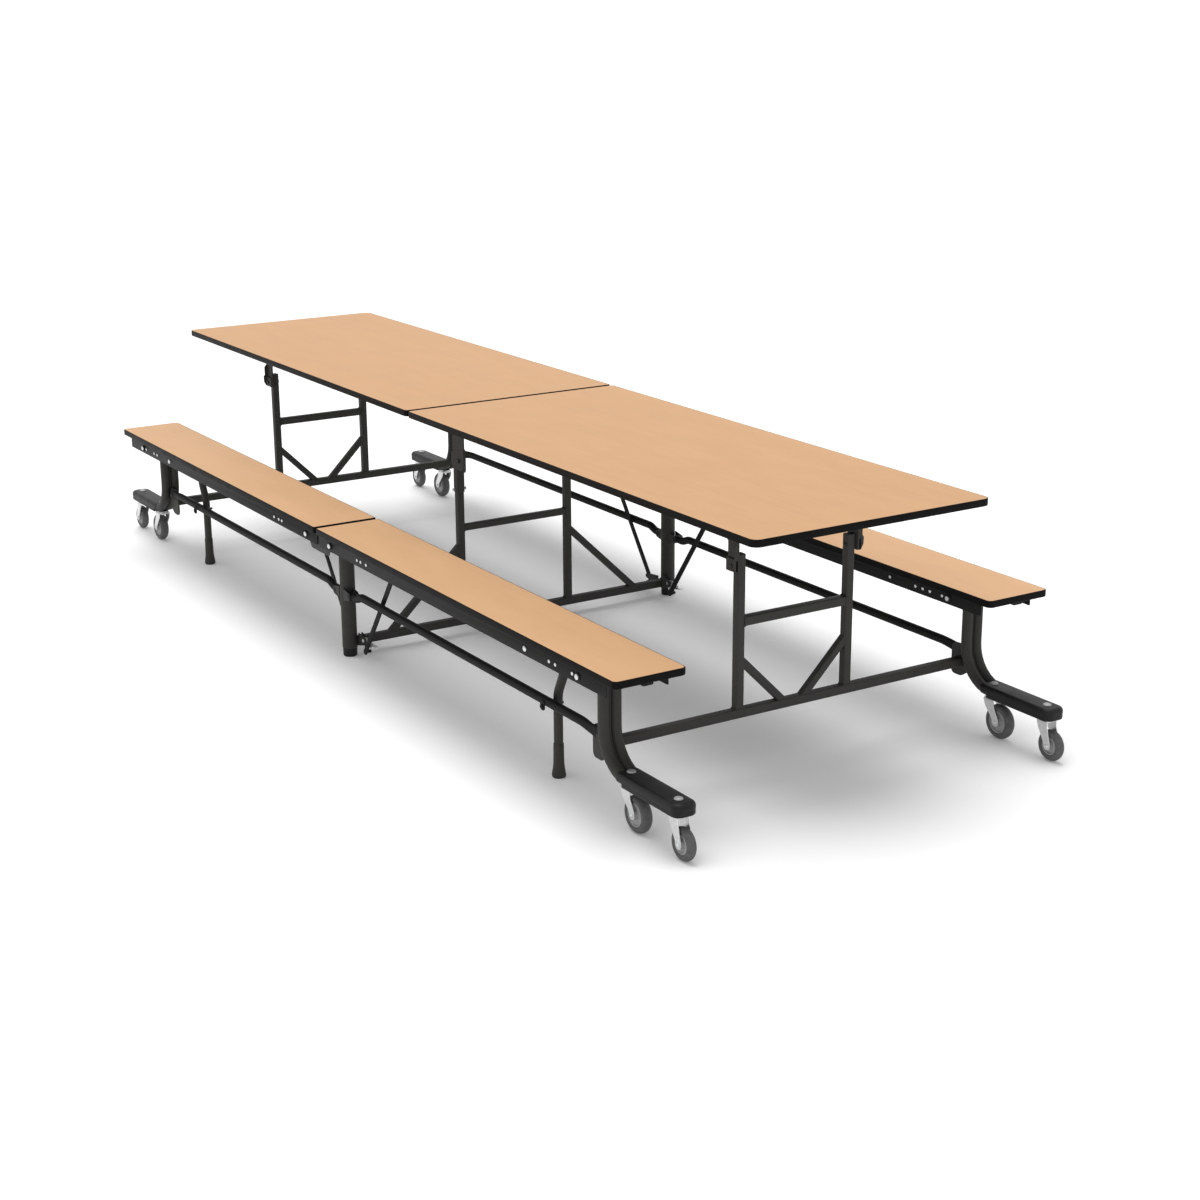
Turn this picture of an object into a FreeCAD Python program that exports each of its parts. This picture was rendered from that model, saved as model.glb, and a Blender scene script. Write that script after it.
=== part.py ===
"""Cafeteria folding table with two benches on eight casters, 12 ft long.

Frame: origin on the floor under the middle of the table, +X along the table to its right end,
+Y across it to the far bench, +Z up.  All sizes are in millimetres.

Two end frames, a centre frame, two tabletop halves, four bench halves, four stretchers, two support
legs and four lock rods make one double parallelogram.  Each half is drawn once, on the right
(+X), and the left one is its mirror image, apart from pieces that sit in swapped planes.
"""
import FreeCAD
import Part
import math
import os

V = FreeCAD.Vector

# ---- tabletop ----
TABLE_LENGTH = 3658.0          # 12 ft over both halves
TABLE_WIDTH = 762.0            # 30 in
TABLE_TOP_Z = 762.0
BOARD_THICK = 20.0
EDGE_BAND = 3.0                # black band round every board
TABLE_SEAM_GAP = 12.0          # between the two halves
TABLE_CORNER_R = 30.0
SEAM_CORNER_R = 12.0
TABLE_UNDER_Z = TABLE_TOP_Z - BOARD_THICK

# ---- benches ----
BENCH_TOP_Z = 433.0
BENCH_END_X = 1720.0
BENCH_Y = 607.0                # centre line of the legs of a bench
BENCH_BOARD_Y = 603.0          # centre line of its board
BENCH_WIDTH = 216.0
BENCH_CORNER_R = 25.0
BENCH_SEAM_GAP = 16.0
BENCH_UNDER_Z = BENCH_TOP_Z - BOARD_THICK
CHANNEL_INNER_Y = 515.0        # outer faces of the two channel webs
CHANNEL_OUTER_Y = 699.0
CHANNEL_WEB = 3.0
CHANNEL_FLANGE = 22.0
CHANNEL_LIP = 9.0
CHANNEL_BOTTOM_Z = 374.0
CHANNEL_X0 = 8.0
CHANNEL_X1 = 1665.0
CROSS_STRAP_X = (200.0, 900.0, 1450.0)
BOSS_R = 11.0                  # boss round a bench pivot
BOSS_RISE = 3.5
OUTER_BOLT_X = (276.0, 300.0, 337.0, 1394.0, 1425.0, 1507.0)
INNER_BOLT_X = (1394.0, 1425.0, 1456.0, 1507.0)
FAR_INNER_BOLT_X = 1282.0      # the support leg's bolt takes this place on the near bench
STOP_PAD_X = 1705.0

# ---- linkage: every link has the same length, so the frames stay upright ----
LINK = 1448.0
BENCH_PIVOT_X = 87.0           # of the centre frame; the end frame's is LINK further out
BENCH_PIVOT_Z = 393.0
TABLE_PIVOT_X = 50.0
TABLE_PIVOT_Z = 592.0
STRETCHER_PIVOT_X = 50.0
STRETCHER_PIVOT_Z = 208.0
BENCH_END_PIVOT_X = BENCH_PIVOT_X + LINK
TABLE_END_PIVOT_X = TABLE_PIVOT_X + LINK
STRETCHER_END_PIVOT_X = STRETCHER_PIVOT_X + LINK
PIVOT_R = 6.0                  # bench pivot bolts
SMALL_PIVOT_R = 5.0            # table and stretcher pivot bolts
RUNNING = 0.06                 # radial clearance of a turning joint
LOOSE = 0.5                    # radial clearance of a pivot that closes a loop
SEAT = 0.02                    # clearance of a bolt in the piece that holds it

# ---- tubes ----
WALL = 2.0
END_TUBE_R = 15.0
END_TUBE_SPACING = 37.0        # between the two tubes of an end leg
END_BEND_R = 110.0
FOOT_TUBE_Z = 134.5
FOOT_TUBE_END_X = 1880.0
LEG_TOP_RISE = 12.0            # tube end above the bench pivot
POST_HALF = 12.7               # half width of the 1 in square tubes of the frames
END_POST_Y = 181.0
END_POST_TOP_Z = 622.0
END_CROSS_Z = 182.0
END_BAR_Z = 437.0
END_BRACE_TOP_Z = 322.0
END_BRACE_FOOT_Y = 26.0
GUSSET_HALF = 3.0              # half thickness of the plate between the two tubes of a leg
CENTRE_LEG_R = 24.0
CENTRE_LEG_Z0 = 28.0
CENTRE_POST_Y = 201.0
CENTRE_POST_TOP_Z = 625.0
CENTRE_CROSS_Z = 46.0
CENTRE_BAR_Z = 358.0
CENTRE_BRACE_TOP_Z = 290.0
CENTRE_BRACE_FOOT_Y = 468.0
SLEEVE_HALF = 16.0
SLEEVE_Z0 = 478.0
SLEEVE_BOLT_Z = 487.0
STRETCHER_R = 12.7
STRETCHER_Y = 613.0
STRETCHER_RUN_Z = 220.0
STRETCHER_TUBE_END = 46.0      # from the outer pivot, where the flat eye takes over
EYE_THICK = 7.5
YOKE_PLATE = 4.0
YOKE_LOW_Z = 354.0
SUPPORT_X = 1240.0
SUPPORT_Y = 582.0
SUPPORT_PIVOT_X = 1272.0
SUPPORT_PIN_X = SUPPORT_PIVOT_X - (BENCH_PIVOT_X - STRETCHER_PIVOT_X)

# ---- lock rods and foot latches ----
ROD_TOP_X = 326.0
ROD_TOP_Z = 372.0
ROD_FOOT_X = 80.0
ROD_FOOT_Z = 30.0
ROD_HALF_WIDTH = 6.5
ROD_THICK = 5.0
ROD_OUTER_Y = 592.0
ROD_INNER_Y = 562.0
ROD_PIN_R = 4.0
ROD_SIDE_GAP = 0.8             # between a rod and each ear of its clevis
CLEVIS_THICK = 2.5
CATCH_PIN_R = 5.0
CATCH_Y = 578.0
CATCH_THICK = 6.0
LATCH_PIVOT_X = 52.0
LATCH_PIVOT_Z = 58.0
PEDAL_HALF = 10.0

# ---- hangers of the tabletops ----
HANGER_THICK = 5.0
HANGER_GAP = 2.3               # between an end post and its hanger
END_HANGER_HALF = 20.0
CENTRE_HANGER_HALF = 32.0
EAR_THICK = 5.0

# ---- casters: name, swivel axis X, wheel radius, wheel width, trail ----
CASTERS = (("inner", 1636.0, 50.0, 30.0, 32.0),
           ("outer", 1845.0, 44.0, 25.0, 25.0))
STEM_R = 4.5
FOOT_COVER_X0 = 1612.0
FOOT_TIP_X = 1910.0
FOOT_COVER_TOP_Z = 153.0
FOOT_COVER_BOTTOM_Z = 118.0
FOOT_COVER_HALF = 37.0
RACE_TOP_Z = FOOT_TUBE_Z - END_TUBE_R
CROWN_TOP_Z = 115.0
AXLE_R = 4.0
TYRE_DEPTH = 15.0
HUB_R = 11.0

RIGHT, LEFT = 1, -1
NEAR, FAR = -1, 1
SIDE_NAME = {RIGHT: "right", LEFT: "left"}
ROW_NAME = {NEAR: "near", FAR: "far"}


# ---- basic shapes ----
def block(x0, x1, y0, y1, z0, z1):
    """Box between two corners, whose coordinates may come in either order."""
    low = V(min(x0, x1), min(y0, y1), min(z0, z1))
    return Part.makeBox(abs(x1 - x0), abs(y1 - y0), abs(z1 - z0), low)


def bar(start, end, radius):
    """Round bar from one point to another."""
    return Part.makeCylinder(radius, start.distanceToPoint(end), start, end - start)


def bar_y(x, z, y0, y1, radius):
    """Round bar along Y."""
    return bar(V(x, y0, z), V(x, y1, z), radius)


def tube(start, end, radius, wall=WALL):
    """Straight round tube with open ends."""
    return bar(start, end, radius).cut(bar(start, end, radius - wall))


def square_bar(start, end, half):
    """Square bar with softened edges between two points of a plane square to X."""
    across = (end - start).normalize().cross(V(1, 0, 0))
    wire = outline([(-half, -half, 2.5), (half, -half, 2.5), (half, half, 2.5), (-half, half, 2.5)],
                   lambda p: start + V(p.x, 0, 0) + across * p.y)
    return Part.Face(wire).extrude(end - start)


def square_tube(start, end, half, wall=WALL):
    """Straight square tube with open ends."""
    return square_bar(start, end, half).cut(square_bar(start, end, half - wall))


def ring(centre, direction, radius, wall):
    """Flat ring, the section of a tube."""
    outer = Part.Wire(Part.makeCircle(radius, centre, direction))
    inner = Part.Wire(Part.makeCircle(radius - wall, centre, direction))
    return Part.makeFace([outer, inner], "Part::FaceMakerBullseye")


def bent_tube(points, bend, radius, wall=WALL):
    """Tube through the points, with an arc of radius bend at each one between the ends."""
    pieces = []
    start = points[0]
    for before, corner, after in zip(points, points[1:], points[2:]):
        along = (corner - before).normalize()
        onward = (after - corner).normalize()
        turn = along.getAngle(onward)
        trim = bend * math.tan(turn / 2)
        axis = along.cross(onward).normalize()
        enter = corner - along * trim
        centre = enter + axis.cross(along) * bend
        pieces.append(ring(start, along, radius, wall).extrude(enter - start))
        pieces.append(ring(enter, along, radius, wall).revolve(centre, axis, math.degrees(turn)))
        start = corner + onward * trim
    run = points[-1] - start
    pieces.append(ring(start, run, radius, wall).extrude(run))
    return pieces[0].fuse(pieces[1:]).removeSplitter()


def outline(corners, lift):
    """Closed wire through corners (u, v, radius), each rounded to its radius; lift makes 3-D points."""
    stations = []
    for index, (u, v, radius) in enumerate(corners):
        here = V(u, v, 0)
        back = (V(corners[index - 1][0], corners[index - 1][1], 0) - here).normalize()
        following = corners[(index + 1) % len(corners)]
        ahead = (V(following[0], following[1], 0) - here).normalize()
        half = back.getAngle(ahead) / 2
        reach = radius / math.tan(half)
        middle = here + (back + ahead).normalize() * (radius / math.sin(half) - radius)
        stations.append((here + back * reach, middle, here + ahead * reach, radius))
    edges = []
    for index, (enter, middle, leave, radius) in enumerate(stations):
        if radius > 0:
            edges.append(Part.Arc(lift(enter), lift(middle), lift(leave)).toShape())
        target = stations[(index + 1) % len(stations)][0]
        if leave.distanceToPoint(target) > 1e-6:
            edges.append(Part.makeLine(lift(leave), lift(target)))
    return Part.Wire(edges)


def plate_xz(corners, y0, y1):
    """Upright plate with its outline in the XZ plane."""
    wire = outline(corners, lambda p: V(p.x, y0, p.y))
    return Part.Face(wire).extrude(V(0, y1 - y0, 0))


def plate_xy(corners, z0, z1):
    """Level plate with its outline in the XY plane."""
    wire = outline(corners, lambda p: V(p.x, p.y, z0))
    return Part.Face(wire).extrude(V(0, 0, z1 - z0))


def slotted_strap(x0, z0, x1, z1, radius, y0, y1):
    """Flat bar with round ends, in the XZ plane."""
    along = V(x1 - x0, 0, z1 - z0).normalize()
    across = V(-along.z, 0, along.x) * radius
    ends = [V(x0, y0, z0), V(x1, y0, z1)]
    edges = [Part.makeLine(ends[0] + across, ends[1] + across),
             Part.Arc(ends[1] + across, ends[1] + along * radius, ends[1] - across).toShape(),
             Part.makeLine(ends[1] - across, ends[0] - across),
             Part.Arc(ends[0] - across, ends[0] - along * radius, ends[0] + across).toShape()]
    return Part.Face(Part.Wire(edges)).extrude(V(0, y1 - y0, 0))


def bolt_y(x, z, y0, y1, shank_r, head_r, head_thick, nut_thick):
    """Bolt along Y from its round head's seat at y0 to its hexagon nut's seat at y1."""
    way = 1.0 if y1 > y0 else -1.0
    shank = bar_y(x, z, y0, y1, shank_r)
    head = bar_y(x, z, y0, y0 - way * head_thick, head_r)
    corners = [V(x + head_r * math.cos(math.radians(60 * k)), y1, z + head_r * math.sin(math.radians(60 * k)))
               for k in range(7)]
    nut = Part.Face(Part.makePolygon(corners)).extrude(V(0, way * nut_thick, 0))
    return shank.fuse([head, nut])


def sided(shape, side):
    """The shape as drawn on the right, or its mirror image on the left."""
    return shape if side == RIGHT else shape.mirror(V(0, 0, 0), V(1, 0, 0))


def save(node, solids):
    """Write one node as a STEP file that holds its separate solids."""
    pieces = []
    for shape in solids:
        pieces.extend(shape.Solids)
    Part.makeCompound(pieces).exportStep("parts/%s.step" % node)


# ---- boards ----
def board_corners(x0, x1, y0, y1, seam_r, end_r):
    """Corners of a board whose seam is at x0 and whose free end is at x1."""
    return [(x0, y0, seam_r), (x1, y0, end_r), (x1, y1, end_r), (x0, y1, seam_r)]


def board_and_band(x0, x1, y0, y1, top_z, seam_r, end_r):
    """A laminated board and the band round its edge."""
    low_z = top_z - BOARD_THICK
    whole = plate_xy(board_corners(x0, x1, y0, y1, seam_r, end_r), low_z, top_z)
    b = EDGE_BAND
    core_outline = board_corners(x0 + b, x1 - b, y0 + b, y1 - b, seam_r - b, end_r - b)
    core = plate_xy(core_outline, low_z, top_z)
    return core, whole.cut(core)


def tabletop(side):
    core, band = board_and_band(TABLE_SEAM_GAP / 2, TABLE_LENGTH / 2, -TABLE_WIDTH / 2, TABLE_WIDTH / 2,
                                TABLE_TOP_Z, SEAM_CORNER_R, TABLE_CORNER_R)
    save("table_board_" + SIDE_NAME[side], [sided(core, side)])
    save("table_edge_" + SIDE_NAME[side], [sided(band, side)])


def bench_boards(side):
    boards = []
    bands = []
    for row in (NEAR, FAR):
        middle = row * BENCH_BOARD_Y
        core, band = board_and_band(BENCH_SEAM_GAP / 2, BENCH_END_X, middle - BENCH_WIDTH / 2,
                                    middle + BENCH_WIDTH / 2, BENCH_TOP_Z,
                                    SEAM_CORNER_R / 2, BENCH_CORNER_R)
        boards.append(sided(core, side))
        bands.append(sided(band, side))
    save("bench_boards_" + SIDE_NAME[side], boards)
    save("bench_edges_" + SIDE_NAME[side], bands)


# ---- tabletop hangers ----
def end_hanger(side, row):
    """Folded bracket from the tabletop down to the pivot on the outer side of an end post."""
    x = TABLE_END_PIVOT_X
    half = END_HANGER_HALF
    y0 = row * (END_POST_Y + POST_HALF + HANGER_GAP)
    y1 = y0 + row * HANGER_THICK
    low = TABLE_PIVOT_Z - half
    shoulder = TABLE_UNDER_Z - 45
    web = plate_xz([(x - half, low, half * 0.9), (x + half, low, half * 0.9),
                    (x + half, shoulder, 6), (x + 2 * half, TABLE_UNDER_Z - 12, 6),
                    (x + 2 * half, TABLE_UNDER_Z, 0), (x - 2 * half, TABLE_UNDER_Z, 0),
                    (x - 2 * half, TABLE_UNDER_Z - 12, 6), (x - half, shoulder, 6)], y0, y1)
    ribs = []
    for way in (-1, 1):
        edge = x + way * half
        ribs.append(block(edge, edge - way * 3, y1, y1 + row * 16, TABLE_PIVOT_Z + 4, shoulder - 8))
    flange = block(x - 2 * half, x + 2 * half, y1, y1 + row * 40, TABLE_UNDER_Z - 4, TABLE_UNDER_Z)
    body = web.fuse(ribs + [flange]).removeSplitter()
    hole_r = SMALL_PIVOT_R + (LOOSE if side == RIGHT else RUNNING)
    return body.cut(bar_y(x, TABLE_PIVOT_Z, y0 - row, y1 + row, hole_r))


def centre_hanger_plane(side, row):
    """Faces (inner, outer) of a centre hanger: outside the post on one row, inside on the other."""
    if side * row == -1:
        start = CENTRE_POST_Y + SLEEVE_HALF + EAR_THICK + 0.5
        return row * start, row * (start + HANGER_THICK), row
    start = CENTRE_POST_Y - SLEEVE_HALF - EAR_THICK - 0.5
    return row * start, row * (start - HANGER_THICK), -row


def centre_hanger(side, row):
    """Wide hanger beside the seam, bolted to an ear of the centre post; drawn on the right."""
    x = TABLE_PIVOT_X
    half = CENTRE_HANGER_HALF
    y0, y1, way = centre_hanger_plane(side, row)
    low = TABLE_PIVOT_Z - half
    web = plate_xz([(x - half, low, half * 0.9), (x + half, low, half * 0.9),
                    (x + half, TABLE_UNDER_Z - 60, 10), (x + half + 12, TABLE_UNDER_Z - 30, 10),
                    (x + half + 12, TABLE_UNDER_Z, 0), (x - half, TABLE_UNDER_Z, 0)], y0, y1)
    flange = block(x - half, x + half + 12, y1, y1 + way * 34, TABLE_UNDER_Z - 4, TABLE_UNDER_Z)
    body = web.fuse(flange).removeSplitter()
    hole_r = SMALL_PIVOT_R + (RUNNING if side == RIGHT else LOOSE)
    return body.cut(bar_y(x, TABLE_PIVOT_Z, y0 - way, y1 + way, hole_r))


def table_hangers(side):
    shapes = []
    for row in (NEAR, FAR):
        shapes.append(sided(end_hanger(side, row), side))
        shapes.append(sided(centre_hanger(side, row), side))
    save("table_hangers_" + SIDE_NAME[side], shapes)


# ---- bench channels ----
def channel(web_y, way):
    """Side channel of a bench: web with a flange under the board and a lip, both towards way."""
    inner_y = web_y + way * CHANNEL_WEB
    low = CHANNEL_BOTTOM_Z
    web = plate_xz([(CHANNEL_X0, BENCH_UNDER_Z, 0), (CHANNEL_X0, low, 8), (CHANNEL_X1, low, 3),
                    (CHANNEL_X1, BENCH_UNDER_Z, 0)], web_y, inner_y)
    flange = block(CHANNEL_X0, CHANNEL_X1, inner_y, web_y + way * CHANNEL_FLANGE,
                   BENCH_UNDER_Z - CHANNEL_WEB, BENCH_UNDER_Z)
    lip = block(160, 1480, inner_y, web_y + way * CHANNEL_LIP, low, low + CHANNEL_WEB)
    bosses = []
    for x in (BENCH_PIVOT_X, BENCH_END_PIVOT_X):
        bosses.append(bar_y(x, BENCH_PIVOT_Z, web_y, web_y - way * BOSS_RISE, BOSS_R))
    return web.fuse([flange, lip] + bosses).removeSplitter()


def channel_webs(row):
    """(web face, way to the bench's centre line) of the two channels of a bench."""
    return [(row * CHANNEL_INNER_Y, row), (row * CHANNEL_OUTER_Y, -row)]


def rod_plane(side, row):
    """Y of a lock rod: the two rods at one centre leg lie in different planes."""
    return row * (ROD_OUTER_Y if side * row == -1 else ROD_INNER_Y)


def rod_clevis(side, row):
    """Bracket under a bench board that carries the top of a lock rod."""
    y = rod_plane(side, row)
    ears = []
    for way in (-1, 1):
        near = y + way * (ROD_THICK / 2 + ROD_SIDE_GAP)
        far = near + way * CLEVIS_THICK
        ear = slotted_strap(ROD_TOP_X, ROD_TOP_Z, ROD_TOP_X, BENCH_UNDER_Z - 14, 12, near, far)
        top = block(ROD_TOP_X - 12, ROD_TOP_X + 12, near, far, BENCH_UNDER_Z - 18, BENCH_UNDER_Z - 3)
        ears.append(ear.fuse(top))
    reach = ROD_THICK / 2 + ROD_SIDE_GAP + CLEVIS_THICK
    cap = block(ROD_TOP_X - 26, ROD_TOP_X + 26, y - reach, y + reach, BENCH_UNDER_Z - 3, BENCH_UNDER_Z)
    body = cap.fuse(ears).removeSplitter()
    return body.cut(bar_y(ROD_TOP_X, ROD_TOP_Z, y - 20, y + 20, ROD_PIN_R + SEAT))


def bench_channels(side):
    shapes = []
    for row in (NEAR, FAR):
        for web_y, way in channel_webs(row):
            shape = channel(web_y, way)
            for x, radius in ((BENCH_PIVOT_X, PIVOT_R + RUNNING), (BENCH_END_PIVOT_X, PIVOT_R + RUNNING)):
                shape = shape.cut(bar_y(x, BENCH_PIVOT_Z, web_y - 7, web_y + 7, radius))
            if row == NEAR:
                shape = shape.cut(bar_y(SUPPORT_PIVOT_X, BENCH_PIVOT_Z, web_y - 5, web_y + 5,
                                        SMALL_PIVOT_R + SEAT))
            shapes.append(sided(shape, side))
        pad_y = row * BENCH_Y
        pad = plate_xy([(STOP_PAD_X - 9, pad_y - 18, 4), (STOP_PAD_X + 9, pad_y - 18, 4),
                        (STOP_PAD_X + 9, pad_y + 18, 4), (STOP_PAD_X - 9, pad_y + 18, 4)],
                       BENCH_UNDER_Z - 13, BENCH_UNDER_Z)
        shapes.append(sided(pad, side))
        inner = channel_webs(row)[0][0] + row * CHANNEL_WEB
        outer = channel_webs(row)[1][0] - row * CHANNEL_WEB
        for x in CROSS_STRAP_X:
            strap = block(x - 18, x + 18, inner, outer, BENCH_UNDER_Z - 15, BENCH_UNDER_Z - 3)
            hollow = block(x - 15, x + 15, inner, outer, BENCH_UNDER_Z - 15, BENCH_UNDER_Z - 6)
            shapes.append(sided(strap.cut(hollow), side))
        shapes.append(sided(rod_clevis(side, row), side))
    save("bench_channels_" + SIDE_NAME[side], shapes)


def bench_bolts(side):
    """Bolt heads on the webs, lock rod pins and the support leg's pivot."""
    shapes = []
    for row in (NEAR, FAR):
        inner_places = INNER_BOLT_X if row == NEAR else INNER_BOLT_X + (FAR_INNER_BOLT_X,)
        for (web_y, way), places in zip(channel_webs(row), (inner_places, OUTER_BOLT_X)):
            for x in places:
                shapes.append(sided(bar_y(x, BENCH_PIVOT_Z, web_y, web_y - way * 3, 5), side))
        y = rod_plane(side, row)
        reach = ROD_THICK / 2 + ROD_SIDE_GAP + CLEVIS_THICK + 0.7
        pin = bar_y(ROD_TOP_X, ROD_TOP_Z, y - reach, y + reach, ROD_PIN_R)
        shapes.append(sided(pin, side))
    inner_web, outer_web = channel_webs(NEAR)
    shapes.append(sided(bolt_y(SUPPORT_PIVOT_X, BENCH_PIVOT_Z, outer_web[0], inner_web[0],
                               SMALL_PIVOT_R, 8, 5, 5), side))
    save("bench_bolts_" + SIDE_NAME[side], shapes)


# ---- end frames ----
def end_leg_tubes(row):
    """The two bent tubes of one leg: down from the bench pivot and out along the foot."""
    tubes = []
    for offset in (-END_TUBE_SPACING / 2, END_TUBE_SPACING / 2):
        y = row * BENCH_Y + offset
        shape = bent_tube([V(BENCH_END_PIVOT_X, y, BENCH_PIVOT_Z + LEG_TOP_RISE),
                           V(BENCH_END_PIVOT_X, y, FOOT_TUBE_Z),
                           V(FOOT_TUBE_END_X, y, FOOT_TUBE_Z)], END_BEND_R, END_TUBE_R)
        shape = shape.cut(bar_y(BENCH_END_PIVOT_X, BENCH_PIVOT_Z, y - 20, y + 20, PIVOT_R + SEAT))
        for name, x, radius, width, trail in CASTERS:
            shape = shape.cut(bar(V(x, row * BENCH_Y, 100), V(x, row * BENCH_Y, 170), STEM_R + SEAT))
        tubes.append(shape)
    return tubes


def gusset(row):
    """Plate between the two tubes of a leg; takes the stretcher pivot and the cross tube."""
    y0 = row * BENCH_Y - GUSSET_HALF
    y1 = row * BENCH_Y + GUSSET_HALF
    shape = plate_xz([(1458, 232, 20), (1458, 137, 16), (1500, 137, 24), (BENCH_END_PIVOT_X, 160, 0),
                      (BENCH_END_PIVOT_X, 232, 0)], y0, y1)
    return shape.cut(bar_y(STRETCHER_END_PIVOT_X, STRETCHER_PIVOT_Z, y0 - 5, y1 + 5,
                           SMALL_PIVOT_R + SEAT))


def leg_half_width():
    return END_TUBE_SPACING / 2 + END_TUBE_R


def end_crossframe(side):
    x = TABLE_END_PIVOT_X
    inner_y = BENCH_Y - leg_half_width()
    outer_y = BENCH_Y + leg_half_width()
    cross_end = BENCH_Y - GUSSET_HALF
    cross_ends = (V(x, -cross_end, END_CROSS_Z), V(x, cross_end, END_CROSS_Z))
    cross_bar = square_bar(*cross_ends, POST_HALF)
    shapes = [square_tube(*cross_ends, POST_HALF)]
    post_bars = []
    for row in (NEAR, FAR):
        y = row * END_POST_Y
        post_ends = (V(x, y, END_CROSS_Z), V(x, y, END_POST_TOP_Z))
        post = square_tube(*post_ends, POST_HALF).cut(cross_bar)
        post = post.cut(bar_y(x, TABLE_PIVOT_Z, y - 20, y + 20, SMALL_PIVOT_R + SEAT))
        shapes.append(post)
        post_bars.append(square_bar(*post_ends, POST_HALF))
        shapes.append(gusset(row))
    level = square_tube(V(x, -END_POST_Y, END_BAR_Z), V(x, END_POST_Y, END_BAR_Z), POST_HALF)
    shapes.append(level.cut(post_bars[0].fuse(post_bars[1])))
    for row, post_bar in zip((NEAR, FAR), post_bars):
        brace = square_tube(V(x, row * END_POST_Y, END_BRACE_TOP_Z + 14),
                            V(x, row * END_BRACE_FOOT_Y, END_CROSS_Z), POST_HALF)
        brace = brace.cut(post_bar.fuse(cross_bar))
        shapes.append(max(brace.Solids, key=lambda solid: solid.Volume))
    for row in (NEAR, FAR):
        webs = channel_webs(row)
        spans = ((webs[0][0] + row * (CHANNEL_WEB + 0.5), row * inner_y),
                 (row * outer_y, webs[1][0] - row * (CHANNEL_WEB + 0.5)))
        for y0, y1 in spans:
            spacer = bar_y(BENCH_END_PIVOT_X, BENCH_PIVOT_Z, y0, y1, 10)
            shapes.append(spacer.cut(bar_y(BENCH_END_PIVOT_X, BENCH_PIVOT_Z, y0 - row, y1 + row,
                                           PIVOT_R + SEAT)))
    save("end_crossframe_" + SIDE_NAME[side], [sided(shape, side) for shape in shapes])


def end_legs(side):
    shapes = []
    for row in (NEAR, FAR):
        for shape in end_leg_tubes(row):
            shapes.append(sided(shape, side))
    save("end_legs_" + SIDE_NAME[side], shapes)


def foot_cover(row):
    """Moulded cover over the two foot tubes, with a rounded nose."""
    y = row * BENCH_Y
    half = FOOT_COVER_HALF
    shell = plate_xy([(FOOT_COVER_X0, y - half, 3), (FOOT_TIP_X, y - half, 22),
                      (FOOT_TIP_X, y + half, 22), (FOOT_COVER_X0, y + half, 3)],
                     FOOT_COVER_BOTTOM_Z, FOOT_COVER_TOP_Z)
    room = block(FOOT_COVER_X0 - 1, FOOT_TUBE_END_X + 1, y - half + 3, y + half - 3,
                 FOOT_COVER_BOTTOM_Z - 1, FOOT_TUBE_Z + END_TUBE_R + 0.5)
    shell = shell.cut(room)
    sweep_x = BENCH_END_PIVOT_X + END_BEND_R
    sweep_z = FOOT_TUBE_Z + END_BEND_R
    for offset in (-END_TUBE_SPACING / 2, END_TUBE_SPACING / 2):
        elbow = Part.makeTorus(END_BEND_R, END_TUBE_R + 0.5, V(sweep_x, y + offset, sweep_z), V(0, 1, 0))
        shell = shell.cut(elbow)
    heel = plate_xz([(FOOT_COVER_X0 - 1, 80, 0), (FOOT_COVER_X0 + 70, 80, 0),
                     (FOOT_COVER_X0 + 34, FOOT_COVER_TOP_Z - 7, 0),
                     (FOOT_COVER_X0 - 1, FOOT_COVER_TOP_Z - 7, 0)], y - half - 1, y + half + 1)
    shell = shell.cut(heel)
    for name, x, radius, width, trail in CASTERS:
        shell = shell.cut(bar(V(x, y, 100), V(x, y, 200), STEM_R + SEAT))
    return max(shell.Solids, key=lambda solid: solid.Volume)


def foot_covers(side):
    save("foot_covers_" + SIDE_NAME[side], [sided(foot_cover(row), side) for row in (NEAR, FAR)])


def caster_stem(x, row):
    """Stem bolt between the foot tubes, with its head on the cover and a race under the tubes."""
    y = row * BENCH_Y
    stem = bar(V(x, y, CROWN_TOP_Z - 12), V(x, y, FOOT_COVER_TOP_Z + 2), STEM_R)
    head = Part.makeCone(9.5, 7, 5, V(x, y, FOOT_COVER_TOP_Z), V(0, 0, 1))
    race = bar(V(x, y, CROWN_TOP_Z + 0.5), V(x, y, RACE_TOP_Z), 21)
    nut = bar(V(x, y, CROWN_TOP_Z - 12), V(x, y, CROWN_TOP_Z - 6), 9)
    return stem.fuse([head, race, nut]).removeSplitter()


def end_bolts(side):
    shapes = []
    for row in (NEAR, FAR):
        inner_web, outer_web = channel_webs(row)
        shapes.append(bolt_y(BENCH_END_PIVOT_X, BENCH_PIVOT_Z, outer_web[0] + row * (BOSS_RISE + 0.3),
                             inner_web[0] - row * (BOSS_RISE + 0.3), PIVOT_R, 8, 5, 5))
        inner_post = row * (END_POST_Y - POST_HALF)
        hanger_face = row * (END_POST_Y + POST_HALF + HANGER_GAP + HANGER_THICK + 0.5)
        shapes.append(bolt_y(TABLE_END_PIVOT_X, TABLE_PIVOT_Z, inner_post, hanger_face,
                             SMALL_PIVOT_R, 8, 5, 5))
        inner_face = row * (BENCH_Y - GUSSET_HALF)
        outer_face = row * (BENCH_Y + GUSSET_HALF + EYE_THICK + 1)
        shapes.append(bolt_y(STRETCHER_END_PIVOT_X, STRETCHER_PIVOT_Z, outer_face, inner_face,
                             SMALL_PIVOT_R, 8, 5, 5))
        for name, x, radius, width, trail in CASTERS:
            shapes.append(caster_stem(x, row))
    save("end_bolts_" + SIDE_NAME[side], [sided(shape, side) for shape in shapes])


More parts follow.
